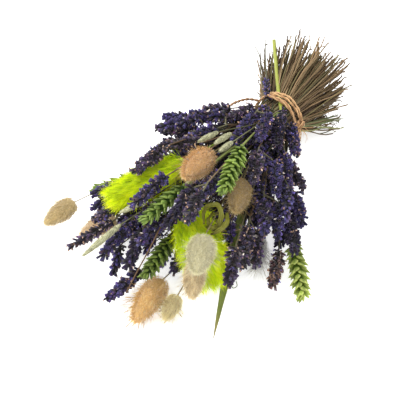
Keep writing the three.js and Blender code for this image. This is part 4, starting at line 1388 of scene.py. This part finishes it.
# A thin tendril beside the blade: where the photograph shows it, and its heights
TENDRIL = [(238, 262, 22), (237, 270, 16), (235, 278, 11), (231, 283, 8), (233, 288, 7), (237, 286, 8),
           (236, 281, 9)]
TENDRIL_STEPS = 40
# The two greens between a leaf's veins and on them, and the brown of its tip
BLADE_TINTS = (srgb(94, 112, 46), srgb(138, 144, 72), srgb(160, 140, 84))
BRACT_TINTS = (srgb(74, 76, 6), srgb(126, 124, 26), srgb(70, 54, 20))


def strip(columns, rows, thickness):
    """A thin leaf, flat and square as yet: X across from -1 to 1, Y from 0 to 1."""
    bpy.ops.object.select_all(action="DESELECT")
    bpy.ops.mesh.primitive_grid_add(x_subdivisions=columns, y_subdivisions=rows, size=2)
    leaf = bpy.context.object
    wall = leaf.modifiers.new("wall", "SOLIDIFY")
    wall.thickness = thickness
    wall.offset = 0
    bpy.ops.object.modifier_apply(modifier="wall")
    bpy.ops.object.mode_set(mode="EDIT")
    bpy.ops.mesh.select_all(action="SELECT")
    bpy.ops.mesh.quads_convert_to_tris()
    bpy.ops.object.mode_set(mode="OBJECT")
    places, faces = take_shape(leaf)
    return Shape(places * [1, 0.5, 1] + [0, 0.5, 0], faces)


def spine_of(node):
    """The foot, axis and length of a long thin node that starts at the tie's side."""
    points = points_of(triangles_of(node))
    far = np.linalg.norm(points - TIE, axis=1)
    tip = points[np.argmax(far)]
    foot = points[np.argsort(far)[:6]].mean(axis=0)
    return foot, unit(tip - foot), np.linalg.norm(tip - foot)


def blade(gather, rng):
    """A long leaf with a fold along its middle, fine veins and a dry tip."""
    foot, axis, length = spine_of("grass_blade_01")
    shape = strip(16, 60, BLADE_THICKNESS)
    x, u, z = shape.places.T
    taper = lerp(0.75, 1.0, np.sin(math.pi * np.minimum(1, 2 * u) / 2)) * (1 - 0.93 * u ** 2.2)
    across = x * BLADE_WIDTH / 2 * taper * (1 + 0.04 * np.sin(31 * u))
    veins = np.cos(x * BLADE_VEINS * math.pi)
    lift = BLADE_FOLD * np.abs(across) + BLADE_ARCH * np.sin(math.pi * u) + 0.1 * veins + z
    lift = lift + 0.5 * np.sin(9 * u + 2 * x)
    places = foot + np.column_stack([across, u * length, lift]) @ directions(axis).T
    places[:, 2] = np.maximum(places[:, 2], 0.15 + 0.3 * (z > 0))
    tints = blend(BLADE_TINTS[0], BLADE_TINTS[1], 0.4 + 0.6 * veins * (1 - np.abs(x)))
    tints = blend(tints, BLADE_TINTS[2], np.clip((u - 0.8) * 4, 0, 1) + np.clip(np.abs(x) * 3 - 2.6, 0, 1))
    gather.add(places, shape.faces, tints, np.column_stack([x * 4, u * 6, z]))
    route = smooth_route([photo_place(*knot) for knot in TENDRIL], TENDRIL_STEPS)
    rod(gather, route, np.linspace(0.7, 0.35, TENDRIL_STEPS), 6, BLADE_TINTS[0], rng, flat=0.6)


# How far left of the frame's roll the curls lie, as the photograph shows them
BRACT_SHIFT = 6.0
BRACT_THICKNESS = 0.3
BRACT_STEPS = 60
# The bract's curls: knots to the right, up and out of its own flat side, from its middle, then the width, and
# how far the strip is turned on edge at either end
BRACT_CURLS = [
    ([(-7.5, -3, -3), (-7.5, 4, 0), (-4, 8.5, 2), (2, 8.5, 2), (4.5, 2, 1), (2.5, -6, -1), (-1, -9.5, -2)],
     4.0, (50, -20)),
    ([(8.5, 5, -2), (9, -2, 1), (6.5, -7.5, 2), (2, -10.5, 1), (-3, -11.5, -2)], 3.8, (-30, 35)),
    ([(-7, -5, -3), (-4.5, -8, 1), (-1, -8, 2), (2.5, -4, -2)], 3.0, (20, -50)),
    ([(1.5, 5, -2), (-3, 2, -1), (-4.5, -3, -2), (-1.5, -5, -4)], 3.2, (-60, -10)),
    ([(5.5, 8.5, -3), (0.5, 10.5, -1), (-5.5, 9.5, 1), (-8.5, 4.5, -1)], 2.8, (-40, 25)),
    ([(7, 4, -4), (3.5, 0, -3), (4.5, -6, -3), (8, -9, -4)], 2.8, (35, -25)),
]


def ribbon(gather, shape, knots, width, normal, turned):
    """A leaf strip along knots, with its flat side to the normal, cupped, wavy at its edges and pointed."""
    x, u, z = shape.places.T
    route = smooth_route(knots, BRACT_STEPS)
    along = unit(np.gradient(route, axis=0))
    side = unit(np.cross(along, normal))
    angle = np.radians(np.linspace(*turned, BRACT_STEPS))
    across = swung(side, np.cross(side, along), angle)
    line = np.linspace(0, 1, BRACT_STEPS)
    spot, across, out = (np.column_stack([np.interp(u, line, part[:, k]) for k in range(3)])
                         for part in (route, across, np.cross(across, along)))
    half = width / 2 * np.sin(math.pi * np.clip(0.06 + 0.92 * u, 0, 1)) ** 0.6 * (1 + 0.12 * np.sin(19 * u))
    rise = z + 0.9 * x ** 2 + 0.4 * np.sin(23 * u + 3 * x) * np.abs(x)
    tints = blend(BRACT_TINTS[0], BRACT_TINTS[1], 0.45 + 0.55 * np.cos(x * 5 * math.pi) * np.cos(9 * u))
    tints = blend(tints, BRACT_TINTS[2], 3.2 * u - 2.4)
    gather.add(spot + across * (x * half)[:, None] + out * rise[:, None], shape.faces, tints,
               np.column_stack([x * 4, u * 12, z]))


def bract(gather, rng):
    """Dry leaf strips in open curls, in the plane that the frame's roll lies in."""
    points = points_of(triangles_of("curled_bract_01"))
    right, back = VIEW[:, 0], VIEW[:, 2]
    middle = (points.min(axis=0) + points.max(axis=0)) / 2 - BRACT_SHIFT * right
    normal = np.linalg.eigh(np.cov(points.T))[1][:, 0]
    normal = normal * np.sign(normal @ back)
    across = unit(right - normal * (normal @ right))
    own = np.column_stack([across, np.cross(normal, across), normal])
    shape = strip(8, 44, BRACT_THICKNESS)
    for knots, width, turned in BRACT_CURLS:
        ribbon(gather, shape, middle + np.array(knots) @ own.T, width, normal, turned)


# Making the pieces

HEAD_MAKERS = {
    "bunny_tail": bunny_tail,
    "wheat_ear": wheat_ear,
    "canary_grass": canary_head,
    "lime_plume": lime_plume,
}
# The added spikes lie between and under the others, so two in three take the darker dusky colours: painted
# shade
FILL_MOODS = ["fresh", "dusky", "dusky"]
FILL_SEED = 7
STEM_SEED = 400
SMALL_SEED = 500
HEAD_SLOTS = {
    "lavender": "lavender_heads",
    "bunny_tail": "bunny_tails",
    "wheat_ear": "wheat_ears",
    "canary_grass": "canary_grass",
    "lime_plume": "lime_plumes",
}


def make_heads(plants, fillers):
    """A piece for each plant with a head, and in it the added spikes that belong to it."""
    finishes = {
        "lavender": lavender_felt(),
        "bunny_tail": bunny_down(),
        "wheat_ear": wheat_skin(),
        "canary_grass": canary_skin(),
        "lime_plume": dyed_fibre(),
    }
    for number, (node, heads) in enumerate(plants.items()):
        rng = np.random.default_rng(number + 1)
        kind = heads[0].kind
        gather = Gather()
        for head in heads:
            if kind == "lavender":
                lavender_spike(gather, head, mood_of(head, rng), rng)
            else:
                HEAD_MAKERS[kind](gather, head, rng)
        for head in fillers:
            if head.node == node:
                lavender_spike(gather, head, rng.choice(FILL_MOODS), rng, PLAIN_CALYX, PLAIN_WHORL_SIZE)
        if len(heads) > 1:
            twigs(gather, heads, rng)
        dress(gather, node + "_looks", finishes[kind], HEAD_SLOTS[kind], node)


def make_stems(plants, fillers):
    """The stems of all heads, the bare ones and the cut ends, in one piece."""
    rng = np.random.default_rng(STEM_SEED)
    carried = []
    for heads in plants.values():
        main = heads[0]
        neck = STEM_NECK if len(heads) > 1 else 0
        carried.append((main.foot - neck * main.axis, main))
    carried += [(head.foot, head) for head in fillers]
    everything = [head for heads in plants.values() for head in heads] + fillers
    carried += bare_shade_stems([head for head in everything if head.kind in ("lavender", "fill")], rng)
    gather = Gather()
    neck_core(gather, rng)
    head_stems(gather, carried, everything, rng)
    cut_stems(gather, rng)
    single_stems(gather, rng)
    dress(gather, "stems_looks", stem_bark(), "stems", "stems")


def make_small_things():
    """The straw, the tie, the blade and the bract."""
    rng = np.random.default_rng(SMALL_SEED)
    for maker, material, slot, node in [(straw, straw_skin(), "green_straw", "green_straw"),
                                        (tie, raffia(), "twine", "twine"),
                                        (blade, leaf_skin(), "grass_blade", "grass_blade_01"),
                                        (bract, leaf_skin(), "curled_bract", "curled_bract_01")]:
        gather = Gather()
        maker(gather, rng)
        dress(gather, node + "_looks", material, slot, node)


# The floor, the light and the camera

PAPER_GLOW = 0.65
SKY_STRENGTH = 1.15
# Each lamp's name, place and width in metres, and its power
LAMPS = [
    ("key", (-0.6, -0.5, 1.2), 0.9, 17),
    ("fill", (0.9, -0.9, 0.8), 1.2, 5),
]


def make_floor():
    """White paper that glows a little, so that it looks as plain as in the photograph."""
    bpy.ops.object.select_all(action="DESELECT")
    bpy.ops.mesh.primitive_plane_add(size=6, location=(0, 0, -0.0005))
    floor = bpy.context.object
    floor.name = "paper_floor"
    material = bpy.data.materials.new("white_paper")
    material.use_nodes = True
    shader = material.node_tree.nodes["Principled BSDF"]
    shader.inputs["Base Color"].default_value = (0.8, 0.8, 0.8, 1)
    shader.inputs["Emission Color"].default_value = (1, 1, 1, 1)
    shader.inputs["Emission Strength"].default_value = PAPER_GLOW
    shader.inputs["Roughness"].default_value = 0.9
    shader.inputs["Specular IOR Level"].default_value = 0.1
    floor.data.materials.append(material)


def add_light(name, place, size, power):
    """A round lamp that points at the bunch."""
    lamp = bpy.data.lights.new(name, "AREA")
    lamp.shape = "DISK"
    lamp.size = size
    lamp.energy = power
    obj = bpy.data.objects.new(name, lamp)
    bpy.context.collection.objects.link(obj)
    turn = directions(-np.array(place))
    matrix = np.eye(4)
    matrix[:3, :3] = np.column_stack([turn[:, 0], turn[:, 2], -turn[:, 1]])
    matrix[:3, 3] = place
    obj.matrix_world = Matrix(matrix.tolist())


def make_light():
    """An even white sky and the lamps."""
    world = bpy.data.worlds.new("studio")
    world.use_nodes = True
    background = world.node_tree.nodes["Background"]
    background.inputs["Color"].default_value = (1, 1, 1, 1)
    background.inputs["Strength"].default_value = SKY_STRENGTH
    bpy.context.scene.world = world
    for lamp in LAMPS:
        add_light(*lamp)


def make_camera():
    """The photograph's camera."""
    lens = bpy.data.cameras.new("photo_view")
    lens.sensor_width = SENSOR
    lens.lens = FOCAL_PIXELS * SENSOR / PICTURE
    camera = bpy.data.objects.new("photo_view", lens)
    matrix = np.eye(4)
    matrix[:3, :3] = VIEW
    matrix[:3, 3] = CAMERA_PLACE * TO_METRES
    camera.matrix_world = Matrix(matrix.tolist())
    bpy.context.collection.objects.link(camera)
    bpy.context.scene.camera = camera


bpy.context.scene.view_settings.view_transform = "Standard"
plants = read_plants()
fillers = fill_spikes([head for heads in plants.values() for head in heads], np.random.default_rng(FILL_SEED))
make_heads(plants, fillers)
make_stems(plants, fillers)
make_small_things()
make_floor()
make_light()
make_camera()
